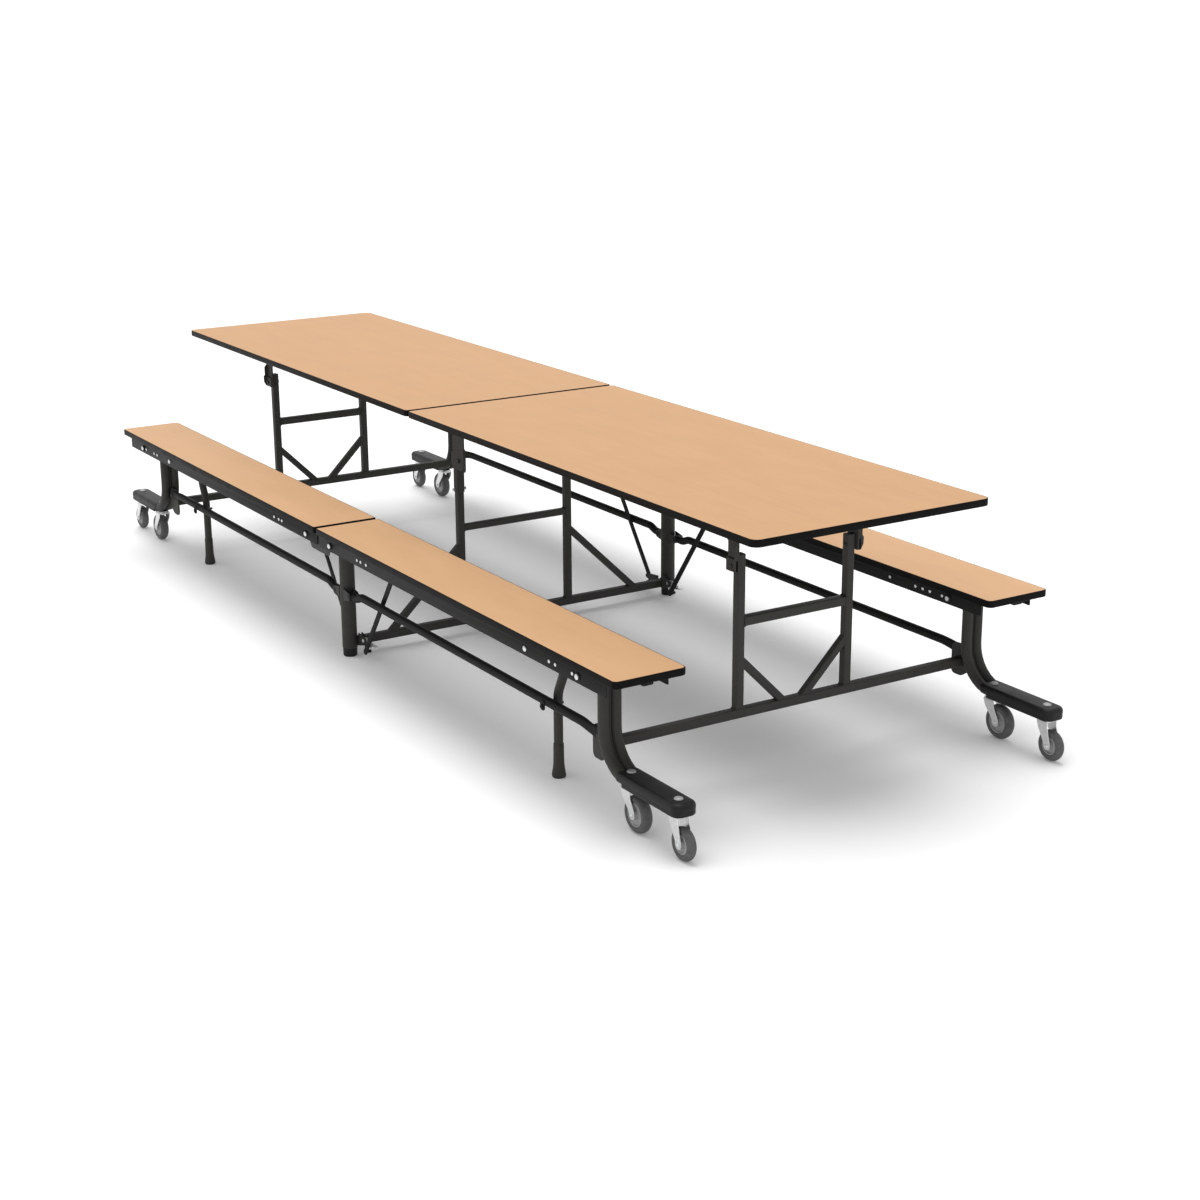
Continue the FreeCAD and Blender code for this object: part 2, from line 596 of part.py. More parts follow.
# ---- casters ----
def caster_fork(x, y, radius, width, trail):
    """Crown with two legs down to the axle, which trails outwards, and the axle bolt."""
    axle_x = x + trail
    crown = plate_xy([(x - 22, y - width / 2 - 6, 12), (x + 24, y - width / 2 - 6, 6),
                      (x + 24, y + width / 2 + 6, 6), (x - 22, y + width / 2 + 6, 12)],
                     CROWN_TOP_Z - 5, CROWN_TOP_Z)
    legs = []
    for way in (-1, 1):
        face = y + way * (width / 2 + 3)
        legs.append(plate_xz([(x - 20, CROWN_TOP_Z - 2, 3), (axle_x - 13, radius - 12, 12),
                              (axle_x + 13, radius - 12, 12), (x + 24, CROWN_TOP_Z - 2, 3)],
                             face, face + way * 3))
    fork = crown.fuse(legs).removeSplitter()
    fork = fork.cut(bar(V(x, y, 100), V(x, y, 130), STEM_R + RUNNING))
    axle_r = AXLE_R + SEAT
    fork = fork.cut(bar_y(axle_x, radius, y - 40, y + 40, axle_r))
    axle = bolt_y(axle_x, radius, y - width / 2 - 6, y + width / 2 + 6, AXLE_R, 6.5, 4, 4)
    return [fork, axle]


def wheel_ring(profile, x, y, z):
    """Solid of revolution about the axle, from (radius, offset along Y) corners."""
    points = [V(x + r, y + offset, z) for r, offset in profile]
    face = Part.Face(Part.makePolygon(points + points[:1]))
    return face.revolve(V(x, y, z), V(0, 1, 0), 360)


def caster_tyre(x, y, radius, width):
    """Solid tyre with bevelled shoulders on a flat tread."""
    h = width / 2
    inner = radius - TYRE_DEPTH
    return wheel_ring([(inner, -h), (radius - 4, -h), (radius, -h + 6), (radius, h - 6), (radius - 4, h),
                       (inner, h)], x, y, radius)


def caster_core(x, y, radius, width):
    """Hub with a thinner web out to the tyre."""
    h = width / 2
    outer = radius - TYRE_DEPTH
    bore = AXLE_R + RUNNING
    return wheel_ring([(bore, -h - 2), (HUB_R, -h - 2), (HUB_R, -h + 6), (outer, -h + 6), (outer, h - 6),
                       (HUB_R, h - 6), (HUB_R, h + 2), (bore, h + 2)], x, y, radius)


def casters(side):
    for row in (NEAR, FAR):
        y = row * BENCH_Y
        for name, x, radius, width, trail in CASTERS:
            tail = "%s_%s_%s" % (SIDE_NAME[side], ROW_NAME[row], name)
            fork = caster_fork(x, y, radius, width, trail)
            save("caster_fork_" + tail, [sided(shape, side) for shape in fork])
            save("caster_tyre_" + tail, [sided(caster_tyre(x + trail, y, radius, width), side)])
            save("caster_core_" + tail, [sided(caster_core(x + trail, y, radius, width), side)])


# ---- centre frame ----
def centre_leg_bar(row):
    return bar(V(0, row * BENCH_Y, CENTRE_LEG_Z0), V(0, row * BENCH_Y, BENCH_PIVOT_Z + LEG_TOP_RISE),
               CENTRE_LEG_R)


def centre_cross_bar():
    end = BENCH_Y - CENTRE_LEG_R + 4
    return square_bar(V(0, -end, CENTRE_CROSS_Z), V(0, end, CENTRE_CROSS_Z), POST_HALF)


def centre_legs():
    shapes = []
    for row in (NEAR, FAR):
        y = row * BENCH_Y
        top = BENCH_PIVOT_Z + LEG_TOP_RISE
        shapes.append(tube(V(0, y, CENTRE_LEG_Z0), V(0, y, top), CENTRE_LEG_R, 2.5))
    save("centre_legs", shapes)


def centre_glides():
    """Black foot of each centre leg: a plug in the tube and a thick pad on the floor."""
    shapes = []
    for row in (NEAR, FAR):
        y = row * BENCH_Y
        pad = bar(V(0, y, 3), V(0, y, CENTRE_LEG_Z0), 20)
        sole = Part.makeCone(18, 20, 3, V(0, y, 0), V(0, 0, 1))
        plug = bar(V(0, y, CENTRE_LEG_Z0 - 1), V(0, y, CENTRE_LEG_Z0 + 12), CENTRE_LEG_R - 2.5 - 0.1)
        shapes.append(pad.fuse([sole, plug]).removeSplitter())
    save("centre_glides", shapes)


def centre_crossframe():
    """Cross tube on the legs, two posts with sleeves, a level bar and two braces outwards."""
    cross_bar = centre_cross_bar()
    legs = centre_leg_bar(NEAR).fuse(centre_leg_bar(FAR))
    end = BENCH_Y - CENTRE_LEG_R + 4
    cross = square_tube(V(0, -end, CENTRE_CROSS_Z), V(0, end, CENTRE_CROSS_Z), POST_HALF).cut(legs)
    shapes = [max(cross.Solids, key=lambda solid: solid.Volume)]
    post_bars = []
    for row in (NEAR, FAR):
        y = row * CENTRE_POST_Y
        post_ends = (V(0, y, CENTRE_CROSS_Z), V(0, y, CENTRE_POST_TOP_Z))
        post_bars.append(square_bar(*post_ends, POST_HALF))
        post = square_tube(*post_ends, POST_HALF).cut(cross_bar)
        bolt_hole = bar_y(0, SLEEVE_BOLT_Z, y - 20, y + 20, 3 + SEAT)
        shapes.append(post.cut(bolt_hole))
        sleeve = square_tube(V(0, y, SLEEVE_Z0), V(0, y, CENTRE_POST_TOP_Z + 8), SLEEVE_HALF,
                             SLEEVE_HALF - POST_HALF - 0.05)
        shapes.append(sleeve.cut(bolt_hole))
    level = square_tube(V(0, -CENTRE_POST_Y, CENTRE_BAR_Z), V(0, CENTRE_POST_Y, CENTRE_BAR_Z), POST_HALF)
    shapes.append(level.cut(post_bars[0].fuse(post_bars[1])))
    for row, post_bar in zip((NEAR, FAR), post_bars):
        brace = square_tube(V(0, row * CENTRE_POST_Y, CENTRE_BRACE_TOP_Z + 12),
                            V(0, row * CENTRE_BRACE_FOOT_Y, CENTRE_CROSS_Z), POST_HALF)
        brace = brace.cut(post_bar.fuse(cross_bar))
        shapes.append(max(brace.Solids, key=lambda solid: solid.Volume))
    save("centre_crossframe", shapes)


def table_ear(side, row):
    """Ear on a sleeve that takes the pivot bolt of a centre hanger; drawn on the right."""
    hanger_face, _, way = centre_hanger_plane(side, row)
    y1 = hanger_face - way * 0.5
    y0 = y1 - way * (EAR_THICK + 2)
    x = TABLE_PIVOT_X
    z = TABLE_PIVOT_Z
    shape = plate_xz([(-14, z - 24, 8), (x + 18, z - 18, 17), (x + 18, z + 18, 17), (-14, z + 24, 8)], y0, y1)
    y = row * CENTRE_POST_Y
    shape = shape.cut(square_bar(V(0, y, 400), V(0, y, 700), SLEEVE_HALF))
    shape = shape.cut(bar_y(x, z, y0 - 5 * way, y1 + 5 * way, SMALL_PIVOT_R + SEAT))
    return max(shape.Solids, key=lambda solid: solid.Volume)


def bench_yoke(row):
    """Bent bracket over a centre leg: a top plate and two side plates that join the bench pivots."""
    z = BENCH_PIVOT_Z
    top = z + LEG_TOP_RISE
    reach = BENCH_PIVOT_X + 16
    inner = CHANNEL_INNER_Y + CHANNEL_WEB + 1
    outer = CHANNEL_OUTER_Y - CHANNEL_WEB - 1
    cheeks = []
    for y0, y1 in ((inner, inner + YOKE_PLATE), (outer - YOKE_PLATE, outer)):
        cheeks.append(plate_xz([(-reach, z - 14, 12), (-76, z - 14, 8), (-62, YOKE_LOW_Z, 14),
                                (62, YOKE_LOW_Z, 14), (76, z - 14, 8), (reach, z - 14, 12),
                                (reach, top, 12), (-reach, top, 12)], row * y0, row * y1))
    roof = block(-84, 84, row * inner, row * outer, top - YOKE_PLATE, top)
    shape = roof.fuse(cheeks).removeSplitter()
    y = row * BENCH_Y
    shape = shape.cut(bar(V(0, y, z), V(0, y, top + 1), CENTRE_LEG_R + 0.05))
    for x in (-BENCH_PIVOT_X, BENCH_PIVOT_X):
        shape = shape.cut(bar_y(x, z, row * (inner - 5), row * (outer + 5), PIVOT_R + SEAT))
    return shape


def stretcher_ears(row):
    """Ears on both sides of a centre leg that hold the stretcher pivots."""
    ears = []
    y = row * STRETCHER_Y
    for way in (-1, 1):
        y0 = y + way * (STRETCHER_R + 0.8)
        y1 = y0 + way * 3.5
        z = STRETCHER_PIVOT_Z
        for side in (-1, 1):
            shape = plate_xz([(side * 4, z - 24, 0), (side * (STRETCHER_PIVOT_X + 13), z - 13, 12),
                              (side * (STRETCHER_PIVOT_X + 13), z + 13, 12), (side * 4, z + 24, 0)],
                             y0, y1)
            shape = shape.cut(centre_leg_bar(row))
            shape = shape.cut(bar_y(side * STRETCHER_PIVOT_X, z, y - 30, y + 30,
                                    SMALL_PIVOT_R + SEAT))
            ears.append(max(shape.Solids, key=lambda solid: solid.Volume))
    return ears


def catch_hook(row):
    """Fixed hook on the left of a centre leg; the left lock rod's pin rests against it."""
    y0 = row * (CATCH_Y - CATCH_THICK / 2)
    y1 = row * (CATCH_Y + CATCH_THICK / 2)
    shape = plate_xz([(-8, 28, 0), (-62, 16, 6), (-74, 22, 4), (-74, 42, 4), (-96, 46, 8), (-88, 60, 8),
                      (-8, 68, 0)], y0, y1)
    shape = shape.cut(bar_y(-ROD_FOOT_X, ROD_FOOT_Z, y0, y1, CATCH_PIN_R + LOOSE))
    shape = shape.cut(centre_cross_bar())
    return max(shape.Solids, key=lambda solid: solid.Volume)


def latch_ears(row):
    """Two ears on the right of a centre leg that carry a foot latch."""
    ears = []
    for y0, y1 in ((CATCH_Y - 7.5, CATCH_Y - 3.5), (CATCH_Y + 3.5, CATCH_Y + 7.5)):
        shape = plate_xz([(4, 30, 0), (60, 44, 8), (66, 70, 9), (4, 76, 0)], row * y0, row * y1)
        shape = shape.cut(centre_cross_bar())
        shape = shape.cut(centre_leg_bar(row))
        shape = shape.cut(bar_y(LATCH_PIVOT_X, LATCH_PIVOT_Z, row * (y0 - 3), row * (y1 + 3), 4 + SEAT))
        ears.append(max(shape.Solids, key=lambda solid: solid.Volume))
    return ears


def centre_brackets():
    shapes = []
    top_z = BENCH_PIVOT_Z + LEG_TOP_RISE - YOKE_PLATE
    for row in (NEAR, FAR):
        for side in (LEFT, RIGHT):
            shapes.append(sided(table_ear(side, row), side))
        shapes.append(bench_yoke(row))
        shapes.extend(stretcher_ears(row))
        shapes.append(catch_hook(row))
        shapes.extend(latch_ears(row))
        inner = row * (CHANNEL_INNER_Y + CHANNEL_WEB + 1 + YOKE_PLATE)
        outer = row * (CHANNEL_OUTER_Y - CHANNEL_WEB - 1 - YOKE_PLATE)
        for x in (-BENCH_PIVOT_X, BENCH_PIVOT_X):
            spacer = bar_y(x, BENCH_PIVOT_Z, inner, outer, 10)
            spacer = spacer.cut(bar_y(x, BENCH_PIVOT_Z, inner - row, outer + row, PIVOT_R + SEAT))
            shapes.append(spacer.cut(block(x - 11, x + 11, inner, outer, top_z, top_z + 9)))
    save("centre_brackets", shapes)


def centre_bolts():
    shapes = []
    for row in (NEAR, FAR):
        inner_web, outer_web = channel_webs(row)
        for x in (-BENCH_PIVOT_X, BENCH_PIVOT_X):
            shapes.append(bolt_y(x, BENCH_PIVOT_Z, outer_web[0] + row * (BOSS_RISE + 0.3),
                                 inner_web[0] - row * (BOSS_RISE + 0.3), PIVOT_R, 8, 5, 5))
        y = row * STRETCHER_Y
        seat = STRETCHER_R + 0.8 + 3.5
        for x in (-STRETCHER_PIVOT_X, STRETCHER_PIVOT_X):
            shapes.append(bolt_y(x, STRETCHER_PIVOT_Z, y + row * seat, y - row * seat,
                                 SMALL_PIVOT_R, 8, 4, 4))
        for side in (LEFT, RIGHT):
            hanger_face, outer_face, way = centre_hanger_plane(side, row)
            ear_back = hanger_face - way * (EAR_THICK + 2.5)
            shapes.append(bolt_y(side * TABLE_PIVOT_X, TABLE_PIVOT_Z, ear_back,
                                 outer_face + way * 0.5, SMALL_PIVOT_R, 8, 4, 5))
        post_y = row * CENTRE_POST_Y
        shapes.append(bolt_y(0, SLEEVE_BOLT_Z, post_y - row * SLEEVE_HALF, post_y + row * SLEEVE_HALF,
                             3, 6, 4, 4))
        shapes.append(bolt_y(LATCH_PIVOT_X, LATCH_PIVOT_Z, row * (CATCH_Y + 7.5),
                             row * (CATCH_Y - 7.5), 4, 6, 3, 3))
    save("centre_bolts", shapes)


def foot_latch(row):
    """Spring latch on a centre leg: finger in front of the lock rod's pin, and a pedal."""
    y0 = row * (CATCH_Y - CATCH_THICK / 2)
    y1 = row * (CATCH_Y + CATCH_THICK / 2)
    px = LATCH_PIVOT_X
    pz = LATCH_PIVOT_Z
    lever = plate_xz([(px - 11, pz - 4, 8), (px + 6, 22, 4), (px + 21, 22, 3), (px + 22, 46, 6),
                      (px + 52, 46, 4), (px + 58, pz + 2, 4), (px, pz + 12, 10)], y0, y1)
    inner_y = row * (CATCH_Y - PEDAL_HALF)
    outer_y = row * (CATCH_Y + PEDAL_HALF)
    pedal = plate_xy([(px + 50, inner_y, 4), (px + 76, inner_y, 6), (px + 76, outer_y, 6),
                      (px + 50, outer_y, 4)], 52, 57)
    shape = lever.fuse(pedal).removeSplitter()
    return shape.cut(bar_y(px, pz, y0 - row, y1 + row, 4 + RUNNING))


def foot_latches():
    for row in (NEAR, FAR):
        save("foot_latch_" + ROW_NAME[row], [foot_latch(row)])


# ---- stretchers, support legs and lock rods ----
def stretcher(side, row):
    """Link under a bench: a tube with a dropped inner end and a flat outer eye; drawn on the right."""
    y = row * STRETCHER_Y
    x0 = STRETCHER_PIVOT_X
    x1 = STRETCHER_END_PIVOT_X
    z0 = STRETCHER_PIVOT_Z
    z1 = STRETCHER_RUN_Z
    end_x = x1 - STRETCHER_TUBE_END
    body = bent_tube([V(x0, y, z0), V(x0 + 34, y, z0), V(x0 + 66, y, z1), V(end_x, y, z1)],
                     45, STRETCHER_R)
    body = body.fuse(bar_y(x0, z0, y - STRETCHER_R, y + STRETCHER_R, STRETCHER_R))
    face = row * (BENCH_Y + GUSSET_HALF + 0.5)
    body = body.fuse(slotted_strap(end_x - 16, z1, x1, z0, 12, face, face + row * EYE_THICK))
    hole_inner = RUNNING if side == RIGHT else LOOSE
    hole_outer = LOOSE if side == RIGHT else RUNNING
    for x, gap in ((x0, hole_inner), (x1, hole_outer)):
        body = body.cut(bar_y(x, z0, y - 20, y + 20, SMALL_PIVOT_R + gap))
    if row == FAR:
        return [body]
    pin_z = z0
    lug = slotted_strap(SUPPORT_PIN_X, pin_z, SUPPORT_PIN_X, z1 + 4, 11, y - STRETCHER_R - 3,
                        y + STRETCHER_R + 3)
    lug = lug.cut(bar(V(x0, y, z1), V(x1, y, z1), STRETCHER_R))
    passage = bar_y(SUPPORT_PIN_X, pin_z, y - 30, y + 30, 4 + SEAT)
    body = body.cut(passage)
    lug = lug.cut(passage)
    lugs = [solid for solid in lug.Solids if solid.Volume > 500]
    pin = bolt_y(SUPPORT_PIN_X, pin_z, y - STRETCHER_R - 3, row * (SUPPORT_Y - STRETCHER_R - 1),
                 4, 7, 4, 4)
    return [body, pin] + lugs


def stretchers(side):
    shapes = []
    for row in (NEAR, FAR):
        for shape in stretcher(side, row):
            shapes.append(sided(shape, side))
    save("stretchers_" + SIDE_NAME[side], shapes)


def support_leg(side):
    """Extra leg of the near bench, parallel to the end leg; a flared foot telescopes on it."""
    y = -SUPPORT_Y
    top = V(SUPPORT_PIVOT_X, y, BENCH_PIVOT_Z + 12)
    body = bent_tube([top, V(SUPPORT_PIVOT_X, y, 302), V(SUPPORT_X, y, 238), V(SUPPORT_X, y, 30)], 70,
                     STRETCHER_R)
    body = body.cut(bar_y(SUPPORT_PIVOT_X, BENCH_PIVOT_Z, y - 20, y + 20, SMALL_PIVOT_R + RUNNING))
    body = body.cut(bar_y(SUPPORT_PIN_X, STRETCHER_PIVOT_Z, y - 20, y + 20, 4 + LOOSE))
    foot_profile = [(0, 0), (17, 0), (19.5, 6), (18.5, 14), (15, 40), (14.4, 96), (12.75, 96),
                    (12.75, 29), (0, 29)]
    points = [V(SUPPORT_X + r, y, z) for r, z in foot_profile]
    foot = Part.Face(Part.makePolygon(points + points[:1])).revolve(V(SUPPORT_X, y, 0), V(0, 0, 1), 360)
    screws = []
    for way in (-1, 1):
        screws.append(bar(V(SUPPORT_X + way * 14.6, y, 86), V(SUPPORT_X + way * 19, y, 86), 4))
    save("support_leg_" + SIDE_NAME[side], [sided(shape, side) for shape in [body, foot] + screws])


def lock_rod(side, row):
    """Flat rod from the bench to the foot of the centre leg, with a pin across its lower end."""
    y = rod_plane(side, row)
    body = slotted_strap(ROD_FOOT_X, ROD_FOOT_Z, ROD_TOP_X, ROD_TOP_Z, ROD_HALF_WIDTH,
                         y - ROD_THICK / 2, y + ROD_THICK / 2)
    reach = 5 if abs(y) < CATCH_Y else -5
    pin = bar_y(ROD_FOOT_X, ROD_FOOT_Z, y, row * (CATCH_Y + reach), CATCH_PIN_R)
    body = body.fuse(pin).removeSplitter()
    return body.cut(bar_y(ROD_TOP_X, ROD_TOP_Z, y - 10, y + 10, ROD_PIN_R + RUNNING))


def lock_rods(side):
    save("lock_rods_" + SIDE_NAME[side], [sided(lock_rod(side, row), side) for row in (NEAR, FAR)])


def main():
    os.makedirs("parts", exist_ok=True)
    for side in (LEFT, RIGHT):
        tabletop(side)
        table_hangers(side)
        bench_boards(side)
        bench_channels(side)
        bench_bolts(side)
        end_legs(side)
        end_crossframe(side)
        foot_covers(side)
        end_bolts(side)
        casters(side)
        stretchers(side)
        support_leg(side)
        lock_rods(side)
    centre_legs()
    centre_glides()
    centre_crossframe()
    centre_brackets()
    centre_bolts()
    foot_latches()


main()
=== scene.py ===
import bpy
import math
import numpy as np
from mathutils import Matrix


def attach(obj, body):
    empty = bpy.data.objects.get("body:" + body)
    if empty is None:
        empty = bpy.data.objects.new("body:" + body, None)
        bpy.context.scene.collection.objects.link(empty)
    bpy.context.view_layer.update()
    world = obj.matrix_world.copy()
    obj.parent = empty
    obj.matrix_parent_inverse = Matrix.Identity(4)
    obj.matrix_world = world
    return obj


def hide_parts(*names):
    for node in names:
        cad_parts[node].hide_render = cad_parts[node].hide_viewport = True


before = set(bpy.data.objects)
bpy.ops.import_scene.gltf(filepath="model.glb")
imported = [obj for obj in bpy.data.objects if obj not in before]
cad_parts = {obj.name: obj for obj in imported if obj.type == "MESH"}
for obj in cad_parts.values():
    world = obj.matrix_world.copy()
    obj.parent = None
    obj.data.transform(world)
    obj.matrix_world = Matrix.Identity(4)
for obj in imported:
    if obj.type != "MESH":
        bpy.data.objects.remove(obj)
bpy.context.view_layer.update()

# ---- Centre legs ----
# Two upright steel tubes, powder coated black, that stand under the middle of the benches and carry the
# whole centre frame.  Shapes are worked out in millimetres and turned to metres when a mesh is made.


class Signal:
    """One socket of a material.  Python's operators on signals and numbers add Math nodes."""

    def __init__(self, tree, socket):
        self.tree = tree
        self.socket = socket

    def feed(self, socket, value):
        if isinstance(value, Signal):
            self.tree.links.new(value.socket, socket)
        else:
            socket.default_value = value

    def node(self, kind, settings=None, inputs=None, out=0):
        """Any other node: its settings first, then the values or links of its sockets."""
        made = self.tree.nodes.new("ShaderNode" + kind)
        for key, value in (settings or {}).items():
            setattr(made, key, value)
        for key, value in (inputs or {}).items():
            self.feed(made.inputs[key], value)
        return Signal(self.tree, made.outputs[out])

    def math(self, operation, *values):
        return self.node("Math", {"operation": operation}, dict(enumerate(values)))

    def __add__(self, other):
        return self.math("ADD", self, other)

    def __sub__(self, other):
        return self.math("SUBTRACT", self, other)

    def __rsub__(self, other):
        return self.math("SUBTRACT", other, self)

    def __mul__(self, other):
        return self.math("MULTIPLY", self, other)

    __radd__ = __add__
    __rmul__ = __mul__

    def clamp(self):
        return self.math("MAXIMUM", self.math("MINIMUM", self, 1.0), 0.0)

    def stretched(self, scale):
        """The same position with each axis multiplied by its own number."""
        return self.node("Mapping", {"vector_type": "POINT"}, {"Vector": self, "Scale": scale})

    def noise(self, scale, detail=2.0, roughness=0.5):
        """Cloudy value between 0 and 1 with about scale blobs a metre."""
        return self.node("TexNoise", {"noise_dimensions": "3D"},
                         {"Vector": self, "Scale": scale, "Detail": detail, "Roughness": roughness})

    def mix(self, low, high):
        """Colour that goes from low to high as this value goes from 0 to 1."""
        return self.node("Mix", {"data_type": "RGBA"}, {0: self, 6: low, 7: high}, out=2)

    def bump(self, strength, distance):
        return self.node("Bump", {}, {"Strength": strength, "Distance": distance, "Height": self})


def finish(name, sockets):
    """Material with one shader whose sockets take what the given function works out from the position."""
    material = bpy.data.materials.new(name)
    material.use_nodes = True
    tree = material.node_tree
    shader = tree.nodes["Principled BSDF"]
    spot = Signal(tree, tree.nodes.new("ShaderNodeTexCoord").outputs["Object"])
    for socket, value in sockets(spot).items():
        spot.feed(shader.inputs[socket], value)
    return material


def powder_coat(spot):
    """Black powder coat: fine orange peel, faint cloudiness and slightly dusty patches."""
    peel = spot.noise(520.0, 2.0)
    cloud = spot.noise(9.0, 4.0, 0.6)
    dust = (spot.noise(42.0, 5.0, 0.65) * 1.8 - 0.62).clamp()
    clean = (0.043, 0.0422, 0.0405, 1)
    dusty = (0.064, 0.0627, 0.059, 1)
    return {"Base Color": (cloud * 0.55 + dust * 0.45).clamp().mix(clean, dusty),
            "Roughness": dust * 0.14 + cloud * 0.1 + 0.4,
            "Specular IOR Level": 0.09,
            "Normal": peel.bump(0.12, 0.0006)}


BLACK_STEEL = finish("black_powder_coat", powder_coat)
ROUND = 32  # sides of a round tube


def walls(rings, closed=False):
    """Shell through a grid of rings: its points, the quads between each ring and the next, and a flat face
    on each end ring.  A closed one runs back from its last ring to its first and has no end faces."""
    count, around = rings.shape[:2]
    index = np.arange(count * around).reshape(count, around)
    low = index if closed else index[:-1]
    high = np.roll(index, -1, 0) if closed else index[1:]
    quads = np.stack([low, np.roll(low, -1, 1), np.roll(high, -1, 1), high], -1).reshape(-1, 4)
    ends = index[:0] if closed else np.stack([index[0, ::-1], index[-1]])
    return rings.reshape(-1, 3), quads, ends


def route(points, bend, steps=9):
    """Straight runs joined by arcs, as points and headings: an arc leaves its run bend times tan(half the
    turn) before the corner, and its points go forwards by the sine and inwards by 1 - cosine."""
    corner = np.array(points, float)
    run = np.diff(corner, axis=0)
    run = run / np.linalg.norm(run, axis=1)[:, None]
    before = run[:-1, None]
    after = run[1:, None]
    turn = np.arccos(np.clip((before * after).sum(-1, keepdims=True), -1, 1))
    inward = after - before * np.cos(turn)
    inward = inward / np.maximum(np.linalg.norm(inward, axis=-1, keepdims=True), 1e-9)
    angle = turn * np.linspace(0, 1, steps)[None, :, None]
    enter = corner[1:-1, None] - before * bend * np.tan(turn / 2)
    arc = enter + bend * (before * np.sin(angle) + inward * (1 - np.cos(angle)))
    heading = before * np.cos(angle) + inward * np.sin(angle)
    return (np.concatenate([corner[:1], arc.reshape(-1, 3), corner[-1:]]),
            np.concatenate([run[:1], heading.reshape(-1, 3), run[-1:]]))


def pipe(points, radius, bend=40.0, across=None, rim=0.8, around=ROUND):
    """Round tube along a route: at each point a circle across the heading; its ends are eased by rim.  For a
    bent tube, across is the direction square to its plane."""
    centre, heading = route(points, bend)
    centre = np.concatenate([centre[:1], centre[:1] + heading[:1] * rim, centre[1:-1],
                             centre[-1:] - heading[-1:] * rim, centre[-1:]])
    heading = np.concatenate([heading[:1], heading, heading[-1:]])
    size = np.full(len(centre), float(radius))
    size[[0, -1]] -= rim
    if across is None:
        anywhere = [0.31, 0.83, 0.47]
        across = np.cross(heading[0], anywhere)
    first = np.array(across, float) / np.linalg.norm(across)
    second = np.cross(heading, first)
    angle = np.linspace(0, 2 * np.pi, around, endpoint=False)[None, :, None]
    ring = np.cos(angle) * first + np.sin(angle) * second[:, None]
    return walls(centre[:, None] + size[:, None, None] * ring)


def piece(name, body, shells, look, stands_for=(), crease=32):
    """One object of the scene from closed shells in millimetres, riding on a body of the table."""
    faces = []
    start = 0
    for points, quads, ends in shells:
        faces += (quads + start).tolist() + (ends + start).tolist()
        start += len(points)
    mesh = bpy.data.meshes.new(name)
    mesh.from_pydata(np.concatenate([shell[0] for shell in shells]) / 1000.0, [], faces)
    mesh.materials.append(look)
    mesh.shade_smooth()
    mesh.set_sharp_from_angle(angle=math.radians(crease))
    made = bpy.data.objects.new(name, mesh)
    bpy.context.scene.collection.objects.link(made)
    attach(made, body)
    if stands_for:
        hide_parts(*stands_for)


ROWS = (("near", -1), ("far", 1))
LEG_Y = 607.0
LEG_TOP_Z = 405
legs = [pipe([(0, row * LEG_Y, 28), (0, row * LEG_Y, LEG_TOP_Z)], 24.0) for _, row in ROWS]
piece("upright_tubes_centre", "centre_frame", legs, BLACK_STEEL, ["centre_legs"])

# ---- Centre glides ----
# A moulded black foot is pushed into each centre leg and takes the load on the floor; its rim shows as a
# slightly narrower band under the tube.


def turned(profile, centre, axis, closed=False, around=ROUND):
    """Lathe work: each (radius, height) of the profile becomes a circle about the axis through the centre."""
    axis = np.array(axis, float)
    first = np.roll(np.abs(axis), 1)
    second = np.cross(axis, first)
    radius, height = np.array(profile, float).T[:, :, None, None]
    angle = np.linspace(0, 2 * np.pi, around, endpoint=False)[None, :, None]
    circle = np.cos(angle) * first + np.sin(angle) * second
    return walls(np.array(centre, float) + height * axis + radius * circle, closed)


def moulded_plastic(spot):
    """Black moulding: fine leather-like grain with a soft sheen that wears unevenly."""
    grain = spot.noise(900.0, 3.0, 0.6)
    wear = (spot.noise(26.0, 4.0, 0.6) * 1.7 - 0.45).clamp()
    return {"Base Color": wear.mix((0.0085, 0.0085, 0.009, 1), (0.018, 0.018, 0.018, 1)),
            "Roughness": wear * 0.16 + 0.38,
            "Specular IOR Level": 0.18,
            "Normal": grain.bump(0.2, 0.0005)}


BLACK_MOULDING = finish("black_moulding", moulded_plastic)
UP = (0, 0, 1)
glide = [(18, 0), (20.6, 0.8), (22.4, 3), (22.8, 25), (22, 28.4), (12, 28.4)]
glides = [turned(glide, (0, row * LEG_Y, 0), UP) for _, row in ROWS]
piece("floor_glides", "centre_frame", glides, BLACK_MOULDING, ["centre_glides"])

# ---- Centre crossframe ----
# Square 1 in steel tubes: one low between the legs carries two posts with outer sleeves, a level bar and two
# braces that run outwards to the low tube; every joint is welded all round.


def rounded_square(half, ease):
    """Points and outward directions of a square whose corners are quarter rounds: each round's centre lies
    (half - ease) times the root of 2 from the middle."""
    corner = np.radians(45 + 90 * np.arange(4))[:, None]
    angle = np.radians(np.linspace(0, 90, 5) + 90 * np.arange(4)[:, None])
    out = np.stack([np.cos(angle), np.sin(angle)], -1)
    middle = (half - ease) * np.sqrt(2) * np.stack([np.cos(corner), np.sin(corner)], -1)
    return (middle + ease * out).reshape(-1, 2), out.reshape(-1, 2)


def square_pipe(start, end, half, ease=3.0, rim=0.6):
    """Straight square tube with two of its faces square to X: its section at both ends, inset by rim, and
    again at full size one rim further in."""
    start = np.array(start, float)
    length = np.linalg.norm(np.array(end, float) - start)
    along = (np.array(end, float) - start) / length
    points, out = rounded_square(half, ease)
    inset = np.array([rim, 0, 0, rim])[:, None, None]
    place = np.array([0, rim, length - rim, length])[:, None, None]
    flat = points[None] - inset * out[None]
    return walls(start + place * along + flat[..., :1] * np.array([1.0, 0, 0])
                 + flat[..., 1:] * np.cross(along, [1.0, 0, 0]))


